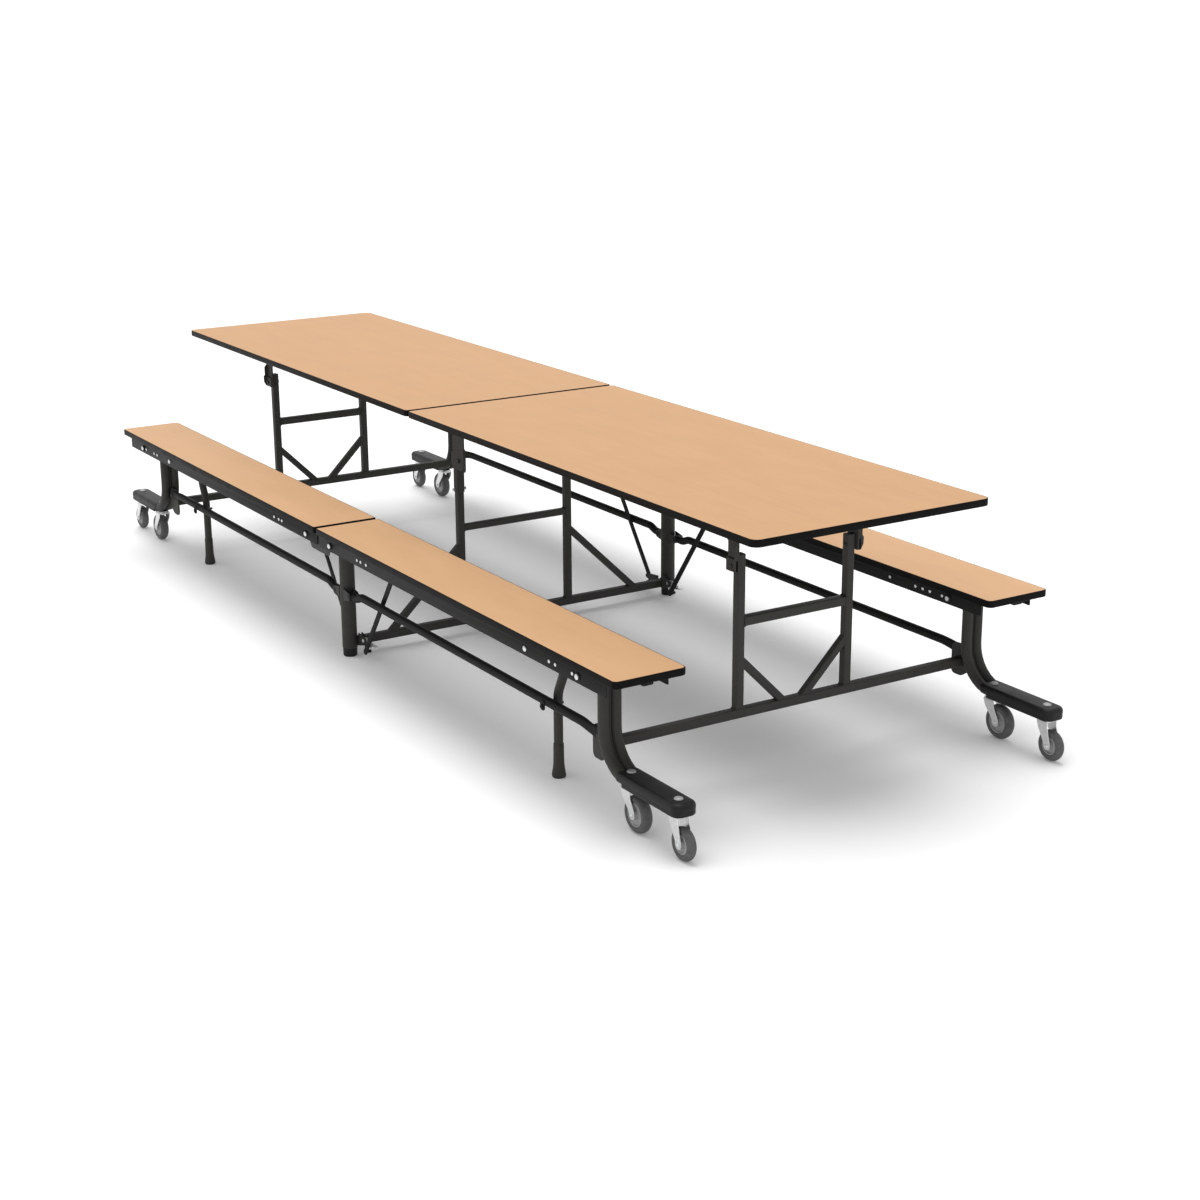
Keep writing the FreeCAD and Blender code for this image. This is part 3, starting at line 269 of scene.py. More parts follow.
def weld(centre, along, half, bead=2.2):
    """Weld bead round a square tube: a small closed section carried round the tube's outline, its size
    wavering along the seam as 1 + 0.12 * sine."""
    points, out = rounded_square(half, 3.0)
    turn = np.linspace(0, 2 * np.pi, 8, endpoint=False)[:, None, None]
    waver = bead * (1 + 0.12 * np.sin(np.arange(len(points)) * 2.6))[None, :, None]
    flat = points[None] + waver * (0.3 + 0.75 * np.cos(turn)) * out[None]
    along = np.array(along, float)
    return walls(np.array(centre, float) + flat[..., :1] * np.array([1.0, 0, 0])
                 + flat[..., 1:] * np.cross(along, [1.0, 0, 0]) + waver * np.sin(turn) * along, closed=True)


TUBE_HALF = 12.7
POST_HALF = 11.6
SLEEVE_HALF = 13.4
BRACE_HALF = 10.6
CENTRE_POST_Y = 201.0
CROSS_Z = 46.0
BAR_Z = 358
crossframe = [square_pipe((0, -585, CROSS_Z), (0, 585, CROSS_Z), TUBE_HALF),
              square_pipe((0, 11 - CENTRE_POST_Y, BAR_Z), (0, CENTRE_POST_Y - 11, BAR_Z), BRACE_HALF)]
for _, row in ROWS:
    y = row * CENTRE_POST_Y
    crossframe.append(square_pipe((0, y, CROSS_Z + 4), (0, y, 625), POST_HALF))
    crossframe.append(square_pipe((0, y, 478), (0, y, 633), SLEEVE_HALF))
    crossframe.append(square_pipe((0, y, 302), (0, row * 468, CROSS_Z + 1), BRACE_HALF))
    crossframe.append(weld((0, y, CROSS_Z + TUBE_HALF), UP, POST_HALF))
    crossframe.append(weld((0, y - row * POST_HALF, BAR_Z), (0, 1, 0), BRACE_HALF))
    crossframe.append(weld((0, row * 583, CROSS_Z), (0, 1, 0), TUBE_HALF))
piece("crossframe_centre", "centre_frame", crossframe, BLACK_STEEL, ["centre_crossframe"])

# ---- Centre brackets ----
# Plates of 3.5 to 7 mm steel, welded on: ears on the sleeves for the tabletop hangers, a bracket folded to a
# U over each leg for the bench pivots, ears for the stretchers, hooks and latch ears.  Black bolts hold the
# hangers and the stretchers in their ears.


def rounded(corners, steps=5, least=1.0):
    """Outline through (u, v, radius) corners.  A corner becomes an arc that touches both its edges, and each
    point gets the outward direction square to the outline there."""
    corner = np.array(corners, float)
    here = corner[:, :2]
    area = np.sum(here[:, 0] * np.roll(here[:, 1], -1) - np.roll(here[:, 0], -1) * here[:, 1])
    if area < 0:
        corner = corner[::-1]
        here = corner[:, :2]
    before = here - np.roll(here, 1, 0)
    before = before / np.linalg.norm(before, axis=1)[:, None]
    after = np.roll(before, -1, 0)
    turn = np.arctan2(before[:, 0] * after[:, 1] - before[:, 1] * after[:, 0], (before * after).sum(1))
    radius = np.maximum(corner[:, 2], least)
    start = here - before * (radius * np.tan(np.abs(turn) / 2))[:, None]
    out = np.stack([before[:, 1], -before[:, 0]], 1)
    way = np.where(turn < 0, -1.0, 1.0)
    centre = start - out * (radius * way)[:, None]
    angle = turn[:, None] * np.linspace(0, 1, steps)
    c = np.cos(angle)
    s = np.sin(angle)
    normal = np.stack([c * out[:, :1] - s * out[:, 1:], s * out[:, :1] + c * out[:, 1:]], -1)
    points = centre[:, None] + normal * (radius * way)[:, None, None]
    return points.reshape(-1, 2), normal.reshape(-1, 2)


def slab(corners, w0, w1, plane="xz", ease=0.7, soft=1, steps=5):
    """Plate with the outline's shape between depths w0 and w1, its edges eased by a bevel, or by a quarter
    round in soft steps: going round the quarter, the ring sinks by ease * (1 - sin) and insets by
    ease * (1 - cos)."""
    low, high = min(w0, w1), max(w0, w1)
    outline, normal = rounded(corners, steps, least=ease + 0.3)
    quarter = np.linspace(0, np.pi / 2, soft + 1)
    inset = ease * (1 - np.sin(quarter))
    rise = ease * (1 - np.cos(quarter))
    insets = np.concatenate([inset, inset[::-1]])
    depths = np.concatenate([low + rise, (high - rise)[::-1]])
    flat = outline[None] - insets[:, None, None] * normal[None]
    depth = np.broadcast_to(depths[:, None], flat.shape[:2])
    points, quads, ends = walls(np.stack([flat[..., 0], flat[..., 1], depth], -1))
    if plane == "xz":
        quads, ends = quads[:, ::-1], ends[:, ::-1]
    order = {"xy": (0, 1, 2), "xz": (0, 2, 1), "yz": (2, 0, 1)}[plane]
    return points[:, order], quads, ends


def oblong(u0, u1, v0, v1, radius):
    """Corners of a rectangle from (u0, v0) by way of (u1, v0), with one radius for all or one for each."""
    return list(zip((u0, u1, u1, u0), (v0, v0, v1, v1), np.broadcast_to(radius, 4)))


def spacer(x, z, y0, y1, radius):
    """Round bar or bush along Y."""
    return pipe([(x, min(y0, y1), z), (x, max(y0, y1), z)], radius, rim=0.4, around=24)


def dome(x, z, y, way, radius, thick):
    """Low domed head on the plane y, rising towards way: above a short rim its radius shrinks as the cosine
    while its height grows as the sine of the same angle."""
    angle = np.radians([0, 0, 18, 36, 54, 72, 84])
    lift = np.array([0, 0.3, 0.3, 0.3, 0.3, 0.3, 0.3])
    profile = np.stack([radius * np.cos(angle), thick * (lift + 0.7 * np.sin(angle))], 1)
    return turned(profile, (x, y, z), (0, way, 0), around=24)


def hexagon(x, z, y0, y1, radius):
    """Nut about an axis along Y: corners at the cosine and sine of every 60 degrees, from 12 on."""
    turn = np.radians(np.arange(6) * 60 + 12)
    corners = np.stack([x + radius * np.cos(turn), z + radius * np.sin(turn), np.full(6, 0.4)], 1)
    return slab(corners, y0, y1, ease=0.5, steps=2)


def bolt(x, z, y0, y1, shank, head, head_thick, nut_thick):
    """Bolt along Y with its domed head on y0 and its nut on y1; shank and head are radii."""
    way = 1.0 if y1 > y0 else -1.0
    return [dome(x, z, y0, -way, head, head_thick),
            spacer(x, z, y0, y1 + way * nut_thick * 0.6, shank),
            hexagon(x, z, y1, y1 + way * nut_thick, head * 0.95)]


def hanger_face(side, row):
    """Plane in which a centre hanger lies on its ear, and the way it faces.  Each half hangs on the outer
    face of one sleeve's ear and on the inner face of the other's."""
    return (222.5, 1) if side * row == -1 else (179.5, -1)


BENCH_PIVOT_X = 87
BENCH_PIVOT_Z = 393
LINK_PIVOT_X = 50  # of the hangers and the stretchers alike
HANGER_PIVOT_Z = 592
STRETCHER_PIVOT_Z = 208
STRETCHER_Y = 613
HOOK_Y = (575, 581)
yoke = [(-103, 379, 12), (-76, 379, 8), (-62, 354, 14), (62, 354, 14), (76, 379, 8), (103, 379, 12),
        (103, LEG_TOP_Z, 12), (-103, LEG_TOP_Z, 12)]
hook = [(-18, 29.5, 1), (-62, 16, 6), (-74, 22, 4), (-74, 42, 4), (-96, 46, 8), (-88, 60, 8), (-18, 67, 1)]
latch_ear = [(16, 32, 1), (60, 44, 8), (66, 70, 9), (16, 75, 1)]
brackets = []
for _, row in ROWS:
    for y in (519, 691):
        brackets.append(slab(yoke, row * y, row * (y + 4), steps=7))
    brackets.append(slab(oblong(-84, 84, row * 521, row * 693, 2), 401, 404.8, plane="xy"))
    for side in (-1, 1):
        brackets.append(spacer(side * BENCH_PIVOT_X, BENCH_PIVOT_Z, row * 523, row * 691, 10))
        for way in (-1, 1):
            y = row * STRETCHER_Y + way * 13.5
            brackets.append(slab([(side * 14, 228, 2), (side * 60, 219, 11), (side * 60, 197, 11),
                                  (side * 14, 188, 2)], y, y + way * 3.5))
        brackets += bolt(side * LINK_PIVOT_X, STRETCHER_PIVOT_Z, row * 630, row * 596, 5, 7, 3, 4)
    brackets.append(slab(hook, row * HOOK_Y[0], row * HOOK_Y[1]))
    for y in (570.5, 581.5):
        brackets.append(slab(latch_ear, row * y, row * (y + 4)))
    for side in (-1, 1):
        face, way = hanger_face(side, row)
        brackets.append(slab([(side * -10, 616, 8), (side * 68, 610, 17), (side * 68, 574, 17),
                              (side * -10, 568, 8)], row * (face - way * 7.5), row * (face - way * 0.5)))
        brackets += bolt(side * LINK_PIVOT_X, HANGER_PIVOT_Z, row * (face - way * 8),
                         row * (face + way * 5.5), 5, 8, 4, 5)
piece("pivot_plates_centre", "centre_frame", brackets, BLACK_STEEL, ["centre_brackets"])

# ---- Centre bolts ----
# Zinc plated pivot bolts with low domed heads and hexagon nuts hold the benches to the centre frame; long
# thin ones pin the sleeves to the posts, short ones the latches.


def zinc_plate(spot):
    """Bright zinc: soft blotches of passivation, fine rubbing marks and a slightly uneven shine."""
    blotch = spot.noise(140.0, 4.0, 0.6)
    rub = spot.stretched((2200.0, 2200.0, 260.0)).noise(1.0, 2.0)
    return {"Base Color": blotch.mix((0.50, 0.51, 0.53, 1), (0.82, 0.82, 0.80, 1)),
            "Metallic": blotch * 0.1 + 0.86,
            "Roughness": rub * 0.16 + blotch * 0.12 + 0.2,
            "Normal": rub.bump(0.05, 0.0003)}


def bench_bolt(x, row):
    """Pivot bolt across both channels of a bench, with its head outside and its nut inside."""
    return bolt(x, BENCH_PIVOT_Z, row * 702.8, row * 511.2, 6, 8, 5, 5)


ZINC = finish("zinc_plate", zinc_plate)
centre_bolts = []
for _, row in ROWS:
    for side in (-1, 1):
        centre_bolts += bench_bolt(side * BENCH_PIVOT_X, row)
    centre_bolts += bolt(0, 487, row * 180, row * 221, 3, 5, 4, 4)
    centre_bolts += bolt(52, 58, row * 585.5, row * 570.5, 4, 6, 3, 3)
piece("pivot_bolts_centre", "centre_frame", centre_bolts, ZINC, ["centre_bolts"])

# ---- Foot latches ----
# At each centre leg a zinc plated lever with a small pedal turns on its own bolt; its finger stands in front
# of the lock rod's pin until a foot presses the pedal.
for name, row in ROWS:
    lever = slab([(41, 54, 8), (58, 22, 4), (73, 22, 3), (74, 46, 6), (104, 46, 4), (110, 60, 4),
                  (52, 70, 10)], row * HOOK_Y[0], row * HOOK_Y[1])
    pedal = slab(oblong(102, 128, row * 568, row * 588, (4, 6, 6, 4)), 52, 57, plane="xy")
    piece("foot_pedal_" + name, "latch_" + name, [lever, pedal], ZINC, ["foot_latch_" + name])

# ---- End legs ----
# Each leg is a pair of 30 mm steel tubes side by side, bent through a right angle into the foot that carries
# two casters; a strip of weld closes the slot between them.
SIDES = (("right", 1), ("left", -1))
LEG_X = 1535.0
FOOT_Z = 134.5


def mirrored(shell):
    """The shell on the other side of the seam plane, with its faces turned so they still point outwards."""
    points, quads, ends = shell
    return points * [-1, 1, 1], quads[:, ::-1], ends[:, ::-1]


def on_side(side, shells):
    """Shells drawn for the right half, or their mirror images for the left one, where side is -1."""
    return shells if side > 0 else [mirrored(shell) for shell in shells]


def bent_leg(y, top, toe, radius, around=ROUND):
    """Tube of an end leg: upright down from the top, a quarter bend and the level foot out to the toe."""
    return pipe([(LEG_X, y, top), (LEG_X, y, FOOT_Z), (toe, y, FOOT_Z)], radius, bend=110,
                across=(0, 1, 0), around=around)


for name, side in SIDES:
    shells = []
    for _, row in ROWS:
        y = row * LEG_Y
        shells += [bent_leg(y - 18.5, LEG_TOP_Z, 1866, 15.0), bent_leg(y + 18.5, LEG_TOP_Z, 1866, 15.0),
                   bent_leg(y, 398, 1860, 4.2, around=12)]
    piece("bent_legs_" + name, "end_frame_" + name, on_side(side, shells), BLACK_STEEL,
          ["end_legs_" + name])

# ---- End crossframes ----
# Welded from black steel between the two end legs: a low square tube, two posts that carry the tabletop, a
# level bar and two braces in a V, a gusset plate in each leg, spacers and black bolts at the pivots.
POST_X = 1498.0
END_POST_Y = 181.0
END_POST_HALF = 12.1
END_CROSS_Z = 182
END_BAR_Z = 437
for name, side in SIDES:
    shells = [square_pipe((POST_X, -604, END_CROSS_Z), (POST_X, 604, END_CROSS_Z), TUBE_HALF),
              square_pipe((POST_X, 11 - END_POST_Y, END_BAR_Z), (POST_X, END_POST_Y - 11, END_BAR_Z),
                          TUBE_HALF)]
    for _, row in ROWS:
        y = row * END_POST_Y
        shells.append(square_pipe((POST_X, y, END_CROSS_Z + 4), (POST_X, y, 622), END_POST_HALF))
        shells.append(square_pipe((POST_X, y, 336), (POST_X, row * 26, END_CROSS_Z), BRACE_HALF))
        shells.append(weld((POST_X, y, END_CROSS_Z + TUBE_HALF), UP, END_POST_HALF))
        shells.append(weld((POST_X, y - row * END_POST_HALF, END_BAR_Z), (0, 1, 0), TUBE_HALF))
        shells.append(weld((POST_X, row * 602.5, END_CROSS_Z), (0, 1, 0), TUBE_HALF))
        shells += bolt(POST_X, HANGER_PIVOT_Z, row * 168.3, row * 207.0, 5, 6.5, 4, 4)
        shells += bolt(POST_X, STRETCHER_PIVOT_Z, row * 618.5, row * 604, 5, 7, 3.5, 5)
        shells.append(slab([(1458, 232, 20), (1458, 137, 16), (1500, 137, 24), (LEG_X, 160, 1),
                            (LEG_X, 232, 1)], row * 604, row * 610, steps=7))
        for y0, y1 in ((518.5, 574), (640, 695.5)):
            shells.append(spacer(LEG_X, BENCH_PIVOT_Z, row * y0, row * y1, 10))
    piece("crossframe_" + name, "end_frame_" + name, on_side(side, shells), BLACK_STEEL,
          ["end_crossframe_" + name])

# ---- Foot covers ----
# One black plastic moulding drops over the two foot tubes of each leg.  It has fully rounded long edges, a
# rounded nose and a shallow groove over its lower rim.
NOSE_X = 1886.0
for name, side in SIDES:
    shells = []
    for _, row in ROWS:
        y = row * LEG_Y
        shells.append(slab(oblong(1608, NOSE_X, y - 35.2, y + 35.2, (13, 25, 25, 13)), 124, 153, plane="xy",
                           ease=12.0, soft=7, steps=9))
        shells.append(slab(oblong(1640, NOSE_X - 0.6, y - 34.6, y + 34.6, (4, 24, 24, 4)), 118.5, 134.5,
                           plane="xy", ease=3.5, soft=4, steps=9))
    piece("foot_mouldings_" + name, "end_frame_" + name, on_side(side, shells),
          BLACK_MOULDING, ["foot_covers_" + name], crease=40)

# ---- End bolts ----
# Zinc plated pivot bolts of the benches, and the stems of the casters: their duller domed caps show on top of
# the foot covers and their ball races under the tubes.


def dull_zinc(spot):
    """Zinc gone matt: grey bloom in patches over fine scratches."""
    bloom = spot.noise(210.0, 4.0, 0.6)
    return {"Base Color": bloom.mix((0.30, 0.30, 0.305, 1), (0.46, 0.46, 0.455, 1)),
            "Metallic": bloom * 0.2 + 0.35,
            "Roughness": bloom * 0.2 + 0.45,
            "Normal": spot.noise(900.0).bump(0.06, 0.0003)}


DULL_ZINC = finish("dull_zinc", dull_zinc)
# Kind, place of the stem along the table, wheel radius, tyre width and trail of the casters on a foot.
CASTERS = (("inner", 1636.0, 50.0, 30.0, 32.0), ("outer", 1845.0, 44.0, 25.0, 25.0))
cap = [(4, 149), (12, 152), (12, 153.8), (11, 155.6), (8.2, 157.2), (4, 157.9), (1, 158)]
race = [(8, 103), (8, 109), (4.5, 109), (4.5, 115.5), (20, 115.5), (21, 116.3), (21, 118.4), (20, 119.4),
        (6, 119.4)]
for name, side in SIDES:
    shells = []
    caps = []
    for _, row in ROWS:
        shells += bench_bolt(LEG_X, row)
        for _, x, _, _, _ in CASTERS:
            caps.append(turned(cap, (x, row * LEG_Y, 0), UP, around=24))
            shells.append(turned(race, (x, row * LEG_Y, 0), UP, around=28))
    piece("frame_bolts_" + name, "end_frame_" + name, on_side(side, shells), ZINC,
          ["end_bolts_" + name])
    piece("stem_caps_" + name, "end_frame_" + name, on_side(side, caps), DULL_ZINC)

# ---- Casters ----
# Zinc plated swivel forks, pressed from one sheet, carry grey rubber tyres on light moulded cores.  The
# inner wheels are 100 mm, the outer ones 88 mm.


def grey_rubber(spot):
    """Moulded tyre rubber: dull grey, with paler scuffs in patches and a fine skin."""
    scuff = (spot.noise(75.0, 5.0, 0.7) * 2.2 - 0.75).clamp()
    skin = spot.noise(700.0, 2.0)
    return {"Base Color": scuff.mix((0.088, 0.087, 0.087, 1), (0.150, 0.147, 0.145, 1)),
            "Roughness": scuff * 0.15 + 0.62,
            "Specular IOR Level": 0.25,
            "Normal": skin.bump(0.15, 0.0005)}


def pale_core(spot):
    """Light grey nylon core with faint flow marks."""
    flow = spot.noise(60.0, 4.0, 0.6)
    return {"Base Color": flow.mix((0.27, 0.27, 0.275, 1), (0.40, 0.40, 0.40, 1)),
            "Roughness": flow * 0.15 + 0.34,
            "Normal": spot.noise(500.0).bump(0.06, 0.0004)}


GREY_RUBBER = finish("grey_rubber", grey_rubber)
PALE_CORE = finish("pale_core", pale_core)
SEAT_DEPTH = 18.4  # from the tread of a wheel down to where the tyre sits on the core


def tyre(radius, width):
    """Closed section: flat bore, bowed sides and a tread rounded at both shoulders.  Across the tread an
    angle goes from -80 to 80 degrees.  The radius sinks by crown * (1 - cos); the place across is shoulder
    times the sine, plus the rest of the half width times the sine of half the angle over its last value."""
    half = width / 2
    shoulder = 8.6
    crown = 10
    last = np.radians(80)
    turn = np.radians(np.linspace(-80, 80, 17))
    place = (half - shoulder) * np.sin(turn / 2) / np.sin(last / 2) + shoulder * np.sin(turn)
    tread = np.stack([radius - crown + crown * np.cos(turn), place], 1)
    flank = [(radius - 17, half - 1.0), (radius - SEAT_DEPTH, half - 2.6)]
    return np.concatenate([[(r, -v) for r, v in flank[::-1]], tread, flank])


def core(radius, width):
    """Closed section of the core: bore, hub, dished web and the rim that holds the tyre."""
    half = width / 2
    rim = radius - SEAT_DEPTH
    return np.array([(4.1, -half - 2), (10, -half - 2), (11, -half - 1), (11.5, -half + 4), (13, -half + 6),
                     (rim - 6, -half + 6), (rim - 4, -half + 4), (rim - 3, -half + 1.5), (rim, -half + 2.2),
                     (rim, half - 2.2), (rim - 3, half - 1.5), (rim - 4, half - 4), (rim - 6, half - 6),
                     (13, half - 6), (11.5, half - 4), (11, half + 1), (10, half + 2), (4.1, half + 2)])


def fork_leg(x, y, radius, width, trail, way):
    """One cheek of the fork: wide under the crown, swept back and narrow round the axle."""
    axle = x + trail
    face = y + way * (width / 2 + 3)
    return slab([(x - 19, 113, 3), (x - 12, 92, 30), (axle - 12, radius + 6, 26),
                 (axle - 11, radius - 11, 10), (axle + 11, radius - 11, 10), (axle + 12, radius + 8, 20),
                 (x + 23, 95, 22), (x + 23, 113, 3)], face, face + way * 3, ease=0.6, steps=7)


for name, side in SIDES:
    for row_name, row in ROWS:
        y = row * LEG_Y
        for kind, x, radius, width, trail in CASTERS:
            tail = "%s_%s_%s" % (name, row_name, kind)
            half = width / 2 + 6
            axle = (x + trail, y, radius)
            fork = [fork_leg(x, y, radius, width, trail, way) for way in (-1, 1)]
            fork.append(slab(oblong(x - 22, x + 24, y - half, y + half, (12, 6, 6, 12)), 110, 115, plane="xy",
                             ease=1.2, soft=2, steps=6))
            fork += bolt(x + trail, radius, y - half, y + half, 4, 6.5, 4, 4)
            wheel = turned(tyre(radius, width), axle, (0, 1, 0), closed=True, around=56)
            hub = turned(core(radius, width), axle, (0, 1, 0), closed=True, around=40)
            piece("swivel_fork_" + tail, "swivel_" + tail, on_side(side, fork), ZINC,
                  ["caster_fork_" + tail])
            piece("tyre_" + tail, "wheel_" + tail, on_side(side, [wheel]), GREY_RUBBER,
                  ["caster_tyre_" + tail])
            piece("core_" + tail, "wheel_" + tail, on_side(side, [hub]), PALE_CORE,
                  ["caster_core_" + tail])

# ---- Stretchers ----
# One enamelled 25 mm steel tube under each bench keeps its end leg upright: its inner end is bent down to the
# pivot, its outer end is pressed flat.  On the near side it also carries the pin that swings the support leg.
STRETCHER_Z = 220
STRETCHER_RADIUS = 12.7


def pressed_end(row):
    """Tube end pressed flat: the half thickness falls from 12.7 to 3.75 mm along half a cosine wave while the
    height grows, the round section squares up, and the tip closes on a half circle."""
    t = np.concatenate([np.linspace(0, 1, 9), np.ones(8)])
    tip = np.radians(np.concatenate([np.zeros(9), np.linspace(10, 84, 8)]))
    press = (1 - np.cos(np.pi * t)) / 2
    x = 1400 + 94 * t + 16 * np.sin(tip)
    high = (STRETCHER_RADIUS + 2.6 * press) * np.cos(tip)
    thick = STRETCHER_RADIUS - 8.95 * press
    turn = np.linspace(0, 2 * np.pi, ROUND, endpoint=False)
    power = (1 - 0.45 * press)[:, None]
    across = np.sign(np.cos(turn)) * np.abs(np.cos(turn)) ** power * thick[:, None]
    up = np.sign(np.sin(turn)) * np.abs(np.sin(turn)) ** power * high[:, None]
    return walls(np.stack([np.broadcast_to(x[:, None], up.shape),
                           across + (row * (STRETCHER_Y + 1.25 * press))[:, None],
                           up + (STRETCHER_Z - 8 * press)[:, None]], -1))


def black_enamel(spot):
    """Smooth stoved enamel of the drawn and rolled parts: deeper black than the coat, faint clouds and
    scuffs."""
    cloud = spot.noise(11.0, 4.0, 0.6)
    scuff = (spot.noise(60.0, 5.0, 0.7) * 1.9 - 0.7).clamp()
    deep = (0.016, 0.016, 0.0156, 1)
    scuffed = (0.025, 0.0245, 0.023, 1)
    return {"Base Color": (cloud * 0.6 + scuff * 0.4).clamp().mix(deep, scuffed),
            "Roughness": scuff * 0.12 + cloud * 0.08 + 0.4,
            "Specular IOR Level": 0.05,
            "Normal": spot.noise(380.0, 2.0).bump(0.06, 0.0005)}


BLACK_ENAMEL = finish("black_enamel", black_enamel)
PROP_PIN_X = 1235
for name, side in SIDES:
    shells = []
    for _, row in ROWS:
        y = row * STRETCHER_Y
        shells.append(pipe([(44, y, STRETCHER_PIVOT_Z), (84, y, STRETCHER_PIVOT_Z), (116, y, STRETCHER_Z),
                            (1404, y, STRETCHER_Z)], STRETCHER_RADIUS, bend=45, across=(0, 1, 0), rim=0.1))
        shells.append(spacer(LINK_PIVOT_X, STRETCHER_PIVOT_Z, y - STRETCHER_RADIUS, y + STRETCHER_RADIUS,
                             STRETCHER_RADIUS))
        shells.append(pressed_end(row))
        if row < 0:
            for y0 in (y - 15.7, y + 12.4):
                shells.append(slab(oblong(1224, 1246, 197, 226, 10), y0, y0 + 3.3))
            shells.append(turned([(4, -1), (7, 0), (7, 3), (5, 4), (2, 4)],
                                 (PROP_PIN_X, y - 15.7, STRETCHER_PIVOT_Z), (0, -1, 0)))
            shells.append(spacer(PROP_PIN_X, STRETCHER_PIVOT_Z, y, y + 50, 4))
    piece("link_tubes_" + name, "stretcher_pair_" + name, on_side(side, shells), BLACK_ENAMEL,
          ["stretchers_" + name])

# ---- Support legs ----
# Under the near bench a bent steel tube stands on a flared foot that slides on it for height and is held by
# two small screws.
PROP_X = 1240
PROP_TOP_X = 1272
PROP_Y = -582.0
prop_foot = [(16, 0), (17.6, 0.8), (19.5, 6), (18.5, 14), (16.4, 27), (15, 40), (14.5, 70), (14.4, 95.4),
             (13.8, 96), (11, 96)]
screw = [(4, 0), (4, 3.4), (3, 4.4), (1, 4.4)]
for name, side in SIDES:
    shells = [pipe([(PROP_TOP_X, PROP_Y, LEG_TOP_Z), (PROP_TOP_X, PROP_Y, 302), (PROP_X, PROP_Y, 238),
                    (PROP_X, PROP_Y, 30)], 12.7, bend=70, across=(0, 1, 0)),
              turned(prop_foot, (PROP_X, PROP_Y, 0), UP)]
    for way in (-1, 1):
        shells.append(turned(screw, (PROP_X + way * 14.4, PROP_Y, 86), (way, 0, 0), around=16))
    piece("prop_leg_" + name, "support_" + name, on_side(side, shells), BLACK_STEEL,
          ["support_leg_" + name])

# ---- Lock rods ----
# Flat enamelled steel rods slant from a clevis under each bench to the foot of the centre leg, where a cross
# pin catches behind the hook or the latch.
ROD_FOOT = (80, 30)
ROD_TOP = (326, 372)


def strap(x0, z0, x1, z1, half, y0, y1):
    """Flat bar with round ends: the two circles' outline, drawn as four corners of nearly half its width."""
    along = np.array([x1 - x0, z1 - z0], float)
    along = along / np.linalg.norm(along)
    across = np.array([-along[1], along[0]])
    start = np.array([x0, z0]) - along * half
    end = np.array([x1, z1]) + along * half
    corners = [(*point, half * 0.98) for point in (start - across * half, end - across * half,
                                                   end + across * half, start + across * half)]
    return slab(corners, y0, y1, steps=7)


def rod_plane(side, row):
    """Distance of a lock rod from the table's middle: the halves' rods pass the hook on opposite sides."""
    return 592.0 if side * row == -1 else 562.0


for name, side in SIDES:
    shells = []
    for _, row in ROWS:
        y = rod_plane(side, row)
        past_hook = 583 if y < HOOK_Y[0] else 573
        shells.append(strap(*ROD_FOOT, *ROD_TOP, 9.5, row * (y - 2.5), row * (y + 2.5)))
        shells.append(spacer(*ROD_FOOT, row * y, row * past_hook, 5))
    piece("catch_rods_" + name, "rod_pair_" + name, on_side(side, shells), BLACK_ENAMEL,
          ["lock_rods_" + name])

# ---- Bench channels ----
# Two roll-formed steel channels run under each bench, square cut at both ends, with a boss at each pivot,
# cross straps between them, the clevis of a lock rod and a rubber stop pad near the end.
INNER_WEB_Y = 515.0
OUTER_WEB_Y = 699.0
CHANNEL_LOW = 374
CHANNEL_TOP = 413
CHANNEL_SHEET = 3
CHANNEL_END = 1665
BENCH_SEAM = 8
boss = [(6.1, 0), (11, 0), (11, 2.6), (10.1, 3.5), (6.1, 3.5)]
for name, side in SIDES:
    shells = []
    for _, row in ROWS:
        for web, way in ((row * INNER_WEB_Y, row), (row * OUTER_WEB_Y, -row)):
            shells.append(slab([(BENCH_SEAM, CHANNEL_TOP, 1), (BENCH_SEAM, CHANNEL_LOW, 8),
                                (CHANNEL_END, CHANNEL_LOW, 3), (CHANNEL_END, CHANNEL_TOP, 1)],
                               web, web + way * CHANNEL_SHEET, ease=0.8, soft=2))
            shells.append(slab(oblong(BENCH_SEAM, CHANNEL_END, web + way * 2, web + way * 22, 1),
                               CHANNEL_TOP - CHANNEL_SHEET, CHANNEL_TOP, plane="xy"))
            shells.append(slab(oblong(160, 1480, web + way, web + way * 9, (1, 1, 2, 2)),
                               CHANNEL_LOW, CHANNEL_LOW + CHANNEL_SHEET, plane="xy"))
            for x in (BENCH_PIVOT_X, LEG_X):
                shells.append(turned(boss, (x, web, BENCH_PIVOT_Z), (0, -way, 0), closed=True, around=24))
        for x in (200.0, 900.0, 1450.0):
            shells.append(slab(oblong(x - 18, x + 18, row * 518, row * 696, 1), 406.5, 410, plane="xy"))
            for edge in (x - 18, x + 15):
                shells.append(slab(oblong(edge, edge + 3, row * 518, row * 696, 1), 398, 409, plane="xy"))
        y = row * rod_plane(side, row)
        for way in (-1, 1):
            shells.append(strap(*ROD_TOP, ROD_TOP[0], 399, 12, y + way * 3.3, y + way * 5.8))
        shells.append(slab(oblong(300, 352, y - 5.8, y + 5.8, 1), 399, CHANNEL_TOP, plane="xy"))
        shells.append(slab(oblong(1697, 1713, row * 591, row * 623, 4), 404, CHANNEL_TOP, plane="xy",
                           ease=2.0, soft=3))
    piece("side_channels_" + name, "benches_" + name, on_side(side, shells), BLACK_ENAMEL,
          ["bench_channels_" + name])

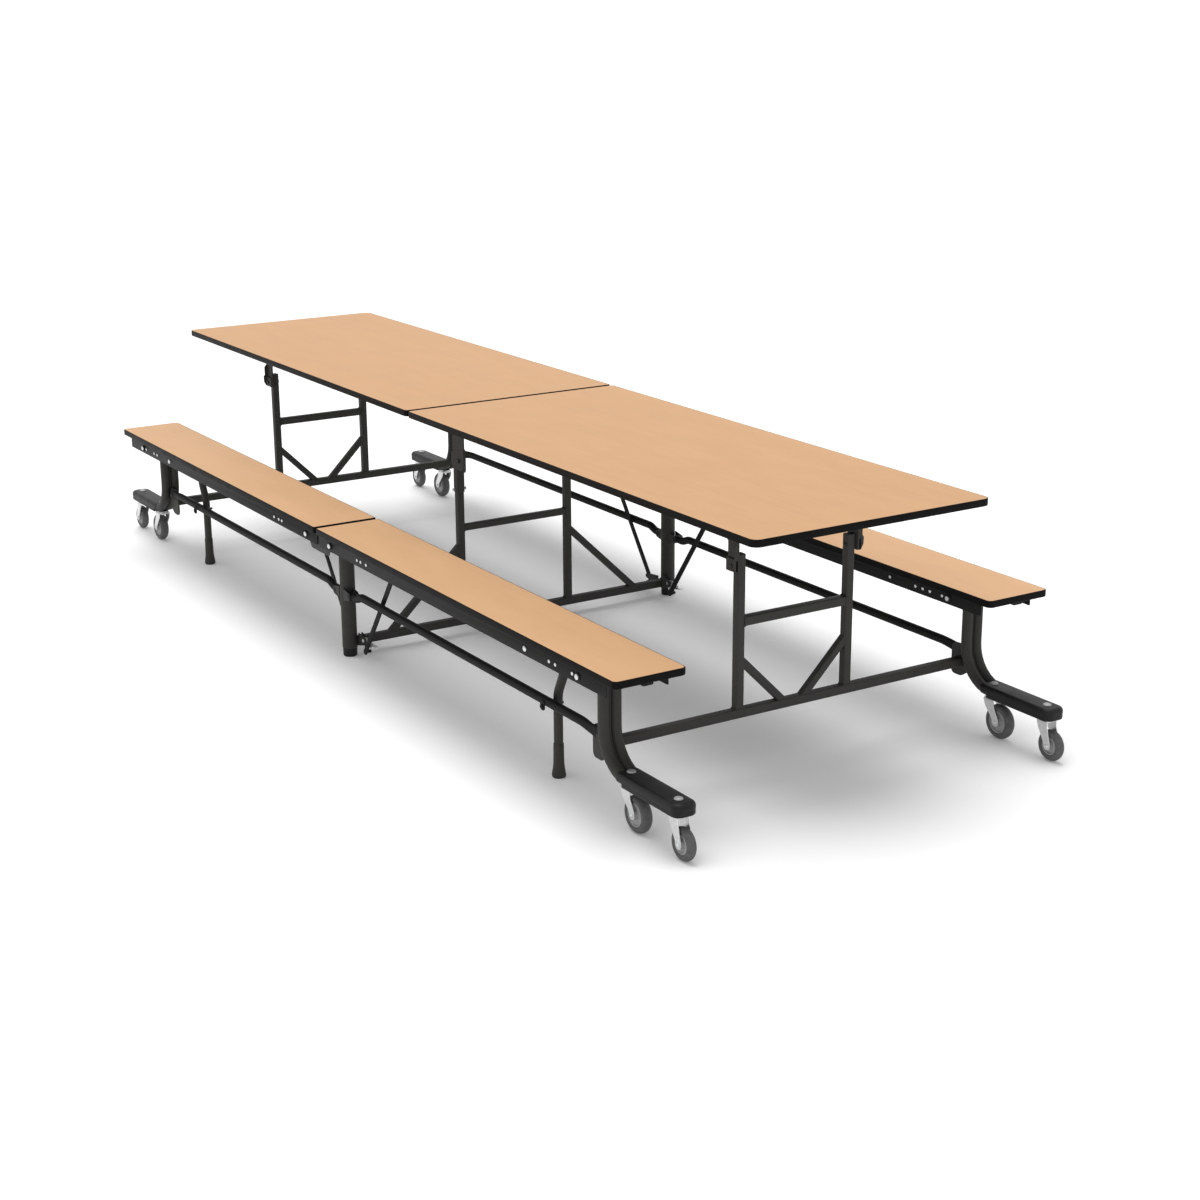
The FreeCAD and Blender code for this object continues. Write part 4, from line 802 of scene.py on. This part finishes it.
# ---- Bench bolts ----
# Zinc plated: small domed screw heads on the webs of the channels, the pins that hold the lock rods in their
# clevises, and the pivot bolt of each support leg.
for name, side in SIDES:
    shells = []
    for _, row in ROWS:
        for x in (276, 300, 337, 1394, 1425, 1507):
            shells.append(dome(x, BENCH_PIVOT_Z, row * OUTER_WEB_Y, row, 5, 3))
        for x in (1394, 1425, 1456, 1507) if row < 0 else (1282, 1394, 1425, 1456, 1507):
            shells.append(dome(x, BENCH_PIVOT_Z, row * INNER_WEB_Y, -row, 5, 3))
        y = row * rod_plane(side, row)
        shells.append(spacer(*ROD_TOP, y - 6.5, y + 6.5, 4))
    shells += bolt(PROP_TOP_X, BENCH_PIVOT_Z, -OUTER_WEB_Y, -INNER_WEB_Y, 5, 8, 5, 5)
    piece("channel_bolts_" + name, "benches_" + name, on_side(side, shells), ZINC,
          ["bench_bolts_" + name])

# ---- Bench boards ----
# Laminated boards in a warm maple pattern with square seam corners and rounded end corners, and a black
# moulded band pressed into the edge all round.


def maple(deep, pale):
    """Printed maple between two tones: soft clouds a hand wide, long faint figure along the board and very
    fine pores."""
    def sockets(spot):
        cloud = spot.stretched((1.6, 4.2, 1.0)).noise(3.0, 4.0, 0.55)
        figure = spot.stretched((2.4, 60.0, 1.0)).noise(1.0, 5.0, 0.6)
        pores = spot.stretched((22.0, 900.0, 1.0)).noise(1.0, 3.0, 0.6)
        tone = cloud * 0.62 + figure * 0.3 + pores * 0.08
        shade = ((tone - 0.5) * 2.1 + 0.5).clamp()
        return {"Base Color": shade.mix(deep, pale),
                "Roughness": cloud * 0.1 + pores * 0.06 + 0.38,
                "Specular IOR Level": 0.12,
                "Normal": (pores * 0.5 + spot.noise(420.0) * 0.5).bump(0.05, 0.0003)}
    return sockets


def edge_moulding(spot):
    """Black edge band: smooth extruded plastic, faintly dulled where hands and trays rub it."""
    dull = (spot.noise(18.0, 4.0, 0.65) * 1.9 - 0.5).clamp()
    return {"Base Color": dull.mix((0.0045, 0.0045, 0.0048, 1), (0.0095, 0.0092, 0.009, 1)),
            "Roughness": dull * 0.18 + 0.34,
            "Specular IOR Level": 0.04,
            "Normal": spot.noise(260.0, 3.0).bump(0.06, 0.0004)}


def backer_sheet(spot):
    """Phenolic backer on the underside: brown black, with dull clouds and a fine paper grain."""
    cloud = spot.stretched((2.0, 5.0, 1.0)).noise(5.0, 4.0, 0.6)
    return {"Base Color": cloud.mix((0.020, 0.017, 0.015, 1), (0.034, 0.029, 0.025, 1)),
            "Roughness": cloud * 0.12 + 0.5,
            "Specular IOR Level": 0.25,
            "Normal": spot.noise(600.0, 3.0).bump(0.05, 0.0003)}


# The seats use the tops' laminate painted lighter, as painted light that makes up for the shade the tabletop
# casts on the benches.
SEAT_MAPLE_PAINTED_LIGHTER = finish("maple_laminate_seats_painted_lighter", maple((0.622, 0.366, 0.187, 1), (0.697, 0.422, 0.229, 1)))
BACKER = finish("backer_sheet", backer_sheet)
BLACK_BAND = finish("black_edge_band", edge_moulding)
BACKER_THICK = 0.8
BAND_WIDE = 3.0


def banding(corners, low, high, wide, ease=2.2):
    """Edge band: a closed section, eased at both outer edges, carried round the outline; each point goes
    inwards by the section's inset."""
    points, normal = rounded(corners, 9, least=wide + 0.5)
    turn = np.linspace(0, np.pi / 2, 4)
    inward = ease * (1 - np.sin(turn))
    rise = ease * (1 - np.cos(turn))
    inset = np.concatenate([inward, inward[::-1], [wide, wide]])
    level = np.concatenate([low + rise, (high - rise)[::-1], [high, low]])
    flat = points[None] - inset[:, None, None] * normal[None]
    height = np.broadcast_to(level[:, None], flat.shape[:2])
    return walls(np.stack([flat[..., 0], flat[..., 1], height], -1), closed=True)


def laminated(x0, x1, y0, y1, seam, end, low, high):
    """Board, backer and band of one top; seam and end are the radii of its corners at x0 and at x1."""
    inner = oblong(x0 + BAND_WIDE, x1 - BAND_WIDE, y0 + BAND_WIDE, y1 - BAND_WIDE,
                   np.array([seam, end, end, seam]) - BAND_WIDE)
    under = low + BACKER_THICK
    return (slab(inner, under, high, plane="xy", ease=0.3, steps=9),
            slab(inner, low, under, plane="xy", ease=0.1, steps=9),
            banding(oblong(x0, x1, y0, y1, (seam, end, end, seam)), low, high, BAND_WIDE))


SEAT_Y = 603.0
SEAT_HALF = 108
SEAT_TOP = 433
for name, side in SIDES:
    boards, backs, bands = zip(*[laminated(BENCH_SEAM, 1720.0, row * SEAT_Y - SEAT_HALF,
                                           row * SEAT_Y + SEAT_HALF, 6.0, 16.0, CHANNEL_TOP, SEAT_TOP)
                                 for _, row in ROWS])
    piece("seat_boards_" + name, "benches_" + name, on_side(side, boards), SEAT_MAPLE_PAINTED_LIGHTER,
          ["bench_boards_" + name])
    piece("seat_backers_" + name, "benches_" + name, on_side(side, backs), BACKER)
    piece("seat_bands_" + name, "benches_" + name, on_side(side, bands), BLACK_BAND,
          ["bench_edges_" + name])

# ---- Tabletop hangers ----
# Folded steel brackets screwed under the tabletops.  Each end one is a narrow plate on its post's outer
# face, stepped under the board, with a folded edge and a thick pivot block; the centre ones bolt to the
# sleeves' ears.
TABLE_UNDER = 742
for name, side in SIDES:
    shells = []
    for _, row in ROWS:
        x = POST_X
        shells.append(slab([(x - 25, 577, 3), (x + 20, 577, 3), (x + 20, 656, 3), (x + 5, 668, 3),
                            (x + 5, TABLE_UNDER, 1), (x - 45, TABLE_UNDER, 1), (x - 45, 666, 3),
                            (x - 25, 655, 3)], row * 196, row * 201))
        shells.append(slab(oblong(x - 25, x + 20, 577, 612, 3), row * 200.5, row * 207))
        shells.append(slab([(row * 200, 577, 1), (row * 208, 577, 2), (row * 216, 592, 4),
                            (row * 217, 612, 4), (row * 212, 618, 2), (row * 212, 648, 4),
                            (row * 200, 662, 1)], x + 17, x + 20, plane="yz"))
        shells.append(slab(oblong(x - 45, x + 5, row * 200, row * 241, (1, 1, 6, 6)), TABLE_UNDER - 4,
                           TABLE_UNDER, plane="xy"))
        face, way = hanger_face(side, row)
        shells.append(slab([(18, 560, 28.8), (82, 560, 28.8), (82, 682, 10), (94, 712, 10),
                            (94, TABLE_UNDER, 1), (18, TABLE_UNDER, 1)],
                           row * face, row * (face + way * 5), steps=8))
        shells.append(slab(oblong(18, 94, row * (face + way * 4), row * (face + way * 39), (1, 1, 5, 5)),
                           TABLE_UNDER - 4, TABLE_UNDER, plane="xy"))
    piece("top_brackets_" + name, "tabletop_" + name, on_side(side, shells), BLACK_STEEL,
          ["table_hangers_" + name])

# ---- Tabletops ----
# Two laminated boards like the benches' but wider, with the same black band; a narrow gap parts them at the
# seam.
# Same laminate as the seats; the seats' copy is painted lighter to make up for the tabletop's shade on them.
TOP_MAPLE = finish("maple_laminate_tops", maple((0.563, 0.317, 0.151, 1), (0.632, 0.368, 0.186, 1)))
TABLE_TOP = 762
TABLE_HALF = 381.0
for name, side in SIDES:
    board, back, band = laminated(6.0, 1829.0, -TABLE_HALF, TABLE_HALF, 12.0, 24.0, TABLE_UNDER, TABLE_TOP)
    piece("top_board_" + name, "tabletop_" + name, on_side(side, [board]), TOP_MAPLE,
          ["table_board_" + name])
    piece("top_backer_" + name, "tabletop_" + name, on_side(side, [back]), BACKER)
    piece("top_band_" + name, "tabletop_" + name, on_side(side, [band]), BLACK_BAND,
          ["table_edge_" + name])

# ---- Floor, light and camera ----
# A plain white studio floor under an even sky, with one very soft lamp from above and a camera at eye height
# off the right-hand end of the near bench.


def studio_floor(spot):
    """White painted floor with a barely visible unevenness of shine."""
    patch = spot.noise(3.0, 3.0)
    return {"Base Color": patch.mix((0.955, 0.955, 0.955, 1), (0.965, 0.965, 0.965, 1)),
            "Roughness": patch * 0.1 + 0.8,
            "Specular IOR Level": 0.0,
            "Emission Color": (1, 1, 1, 1),
            "Emission Strength": 0.1}


FLOOR_HALF = 300.0
floor_corners = FLOOR_HALF * np.array([(-1, -1, 0), (1, -1, 0), (1, 1, 0), (-1, 1, 0)])
floor_mesh = bpy.data.meshes.new("studio_floor")
floor_mesh.from_pydata(floor_corners, [], [(0, 1, 2, 3)])
floor_mesh.materials.append(finish("white_floor", studio_floor))
floor = bpy.data.objects.new("studio_floor", floor_mesh)
bpy.context.scene.collection.objects.link(floor)

SKY_LIGHT = 0.56
world = bpy.data.worlds.new("studio_sky")
bpy.context.scene.world = world
world.use_nodes = True
sky = world.node_tree
backdrop = sky.nodes["Background"]
path = sky.nodes.new("ShaderNodeLightPath")
seen, mirror, through = [Signal(sky, path.outputs["Is " + kind + " Ray"])
                         for kind in ("Camera", "Glossy", "Transmission")]
open_sky = seen.math("MAXIMUM", seen.math("MAXIMUM", seen, mirror), through)
backdrop.inputs["Color"].default_value = (1, 1, 1, 1)
open_sky.feed(backdrop.inputs["Strength"], open_sky * (1.0 - SKY_LIGHT) + SKY_LIGHT)

lamp = bpy.data.lights.new("soft_lamp", "SUN")
lamp.energy = 2.06
lamp.angle = math.radians(47)
lamp_object = bpy.data.objects.new("soft_lamp", lamp)
lamp_object.rotation_euler = (0.0, math.radians(-16), 0.0)
bpy.context.scene.collection.objects.link(lamp_object)

SENSOR = 36.0
FOCAL_LENGTH_IN_PIXELS = 2040.84
FRAME_IN_PIXELS = 1200.0
eye = bpy.data.cameras.new("eye")
eye.sensor_width = SENSOR
eye.lens = SENSOR * FOCAL_LENGTH_IN_PIXELS / FRAME_IN_PIXELS
eye.clip_end = 2000.0
eye_object = bpy.data.objects.new("eye", eye)
bpy.context.scene.collection.objects.link(eye_object)
rightwards = np.array([0.532799477265443, 0.8462215747250665, -0.0058106364108856945])
downwards = np.array([0.24550303729255957, -0.16113785819473464, -0.955909435739883])
forwards = np.array([-0.8098475015123521, 0.5078815187878389, -0.2936041334313247])
pose = np.eye(4)
pose[:3, 0] = rightwards
pose[:3, 1] = -downwards
pose[:3, 2] = -forwards
pose[:3, 3] = (5.6272, -3.1999, 2.0649)
eye_object.matrix_world = Matrix(pose.tolist())
bpy.context.scene.camera = eye_object

bpy.context.scene.view_settings.view_transform = "Standard"
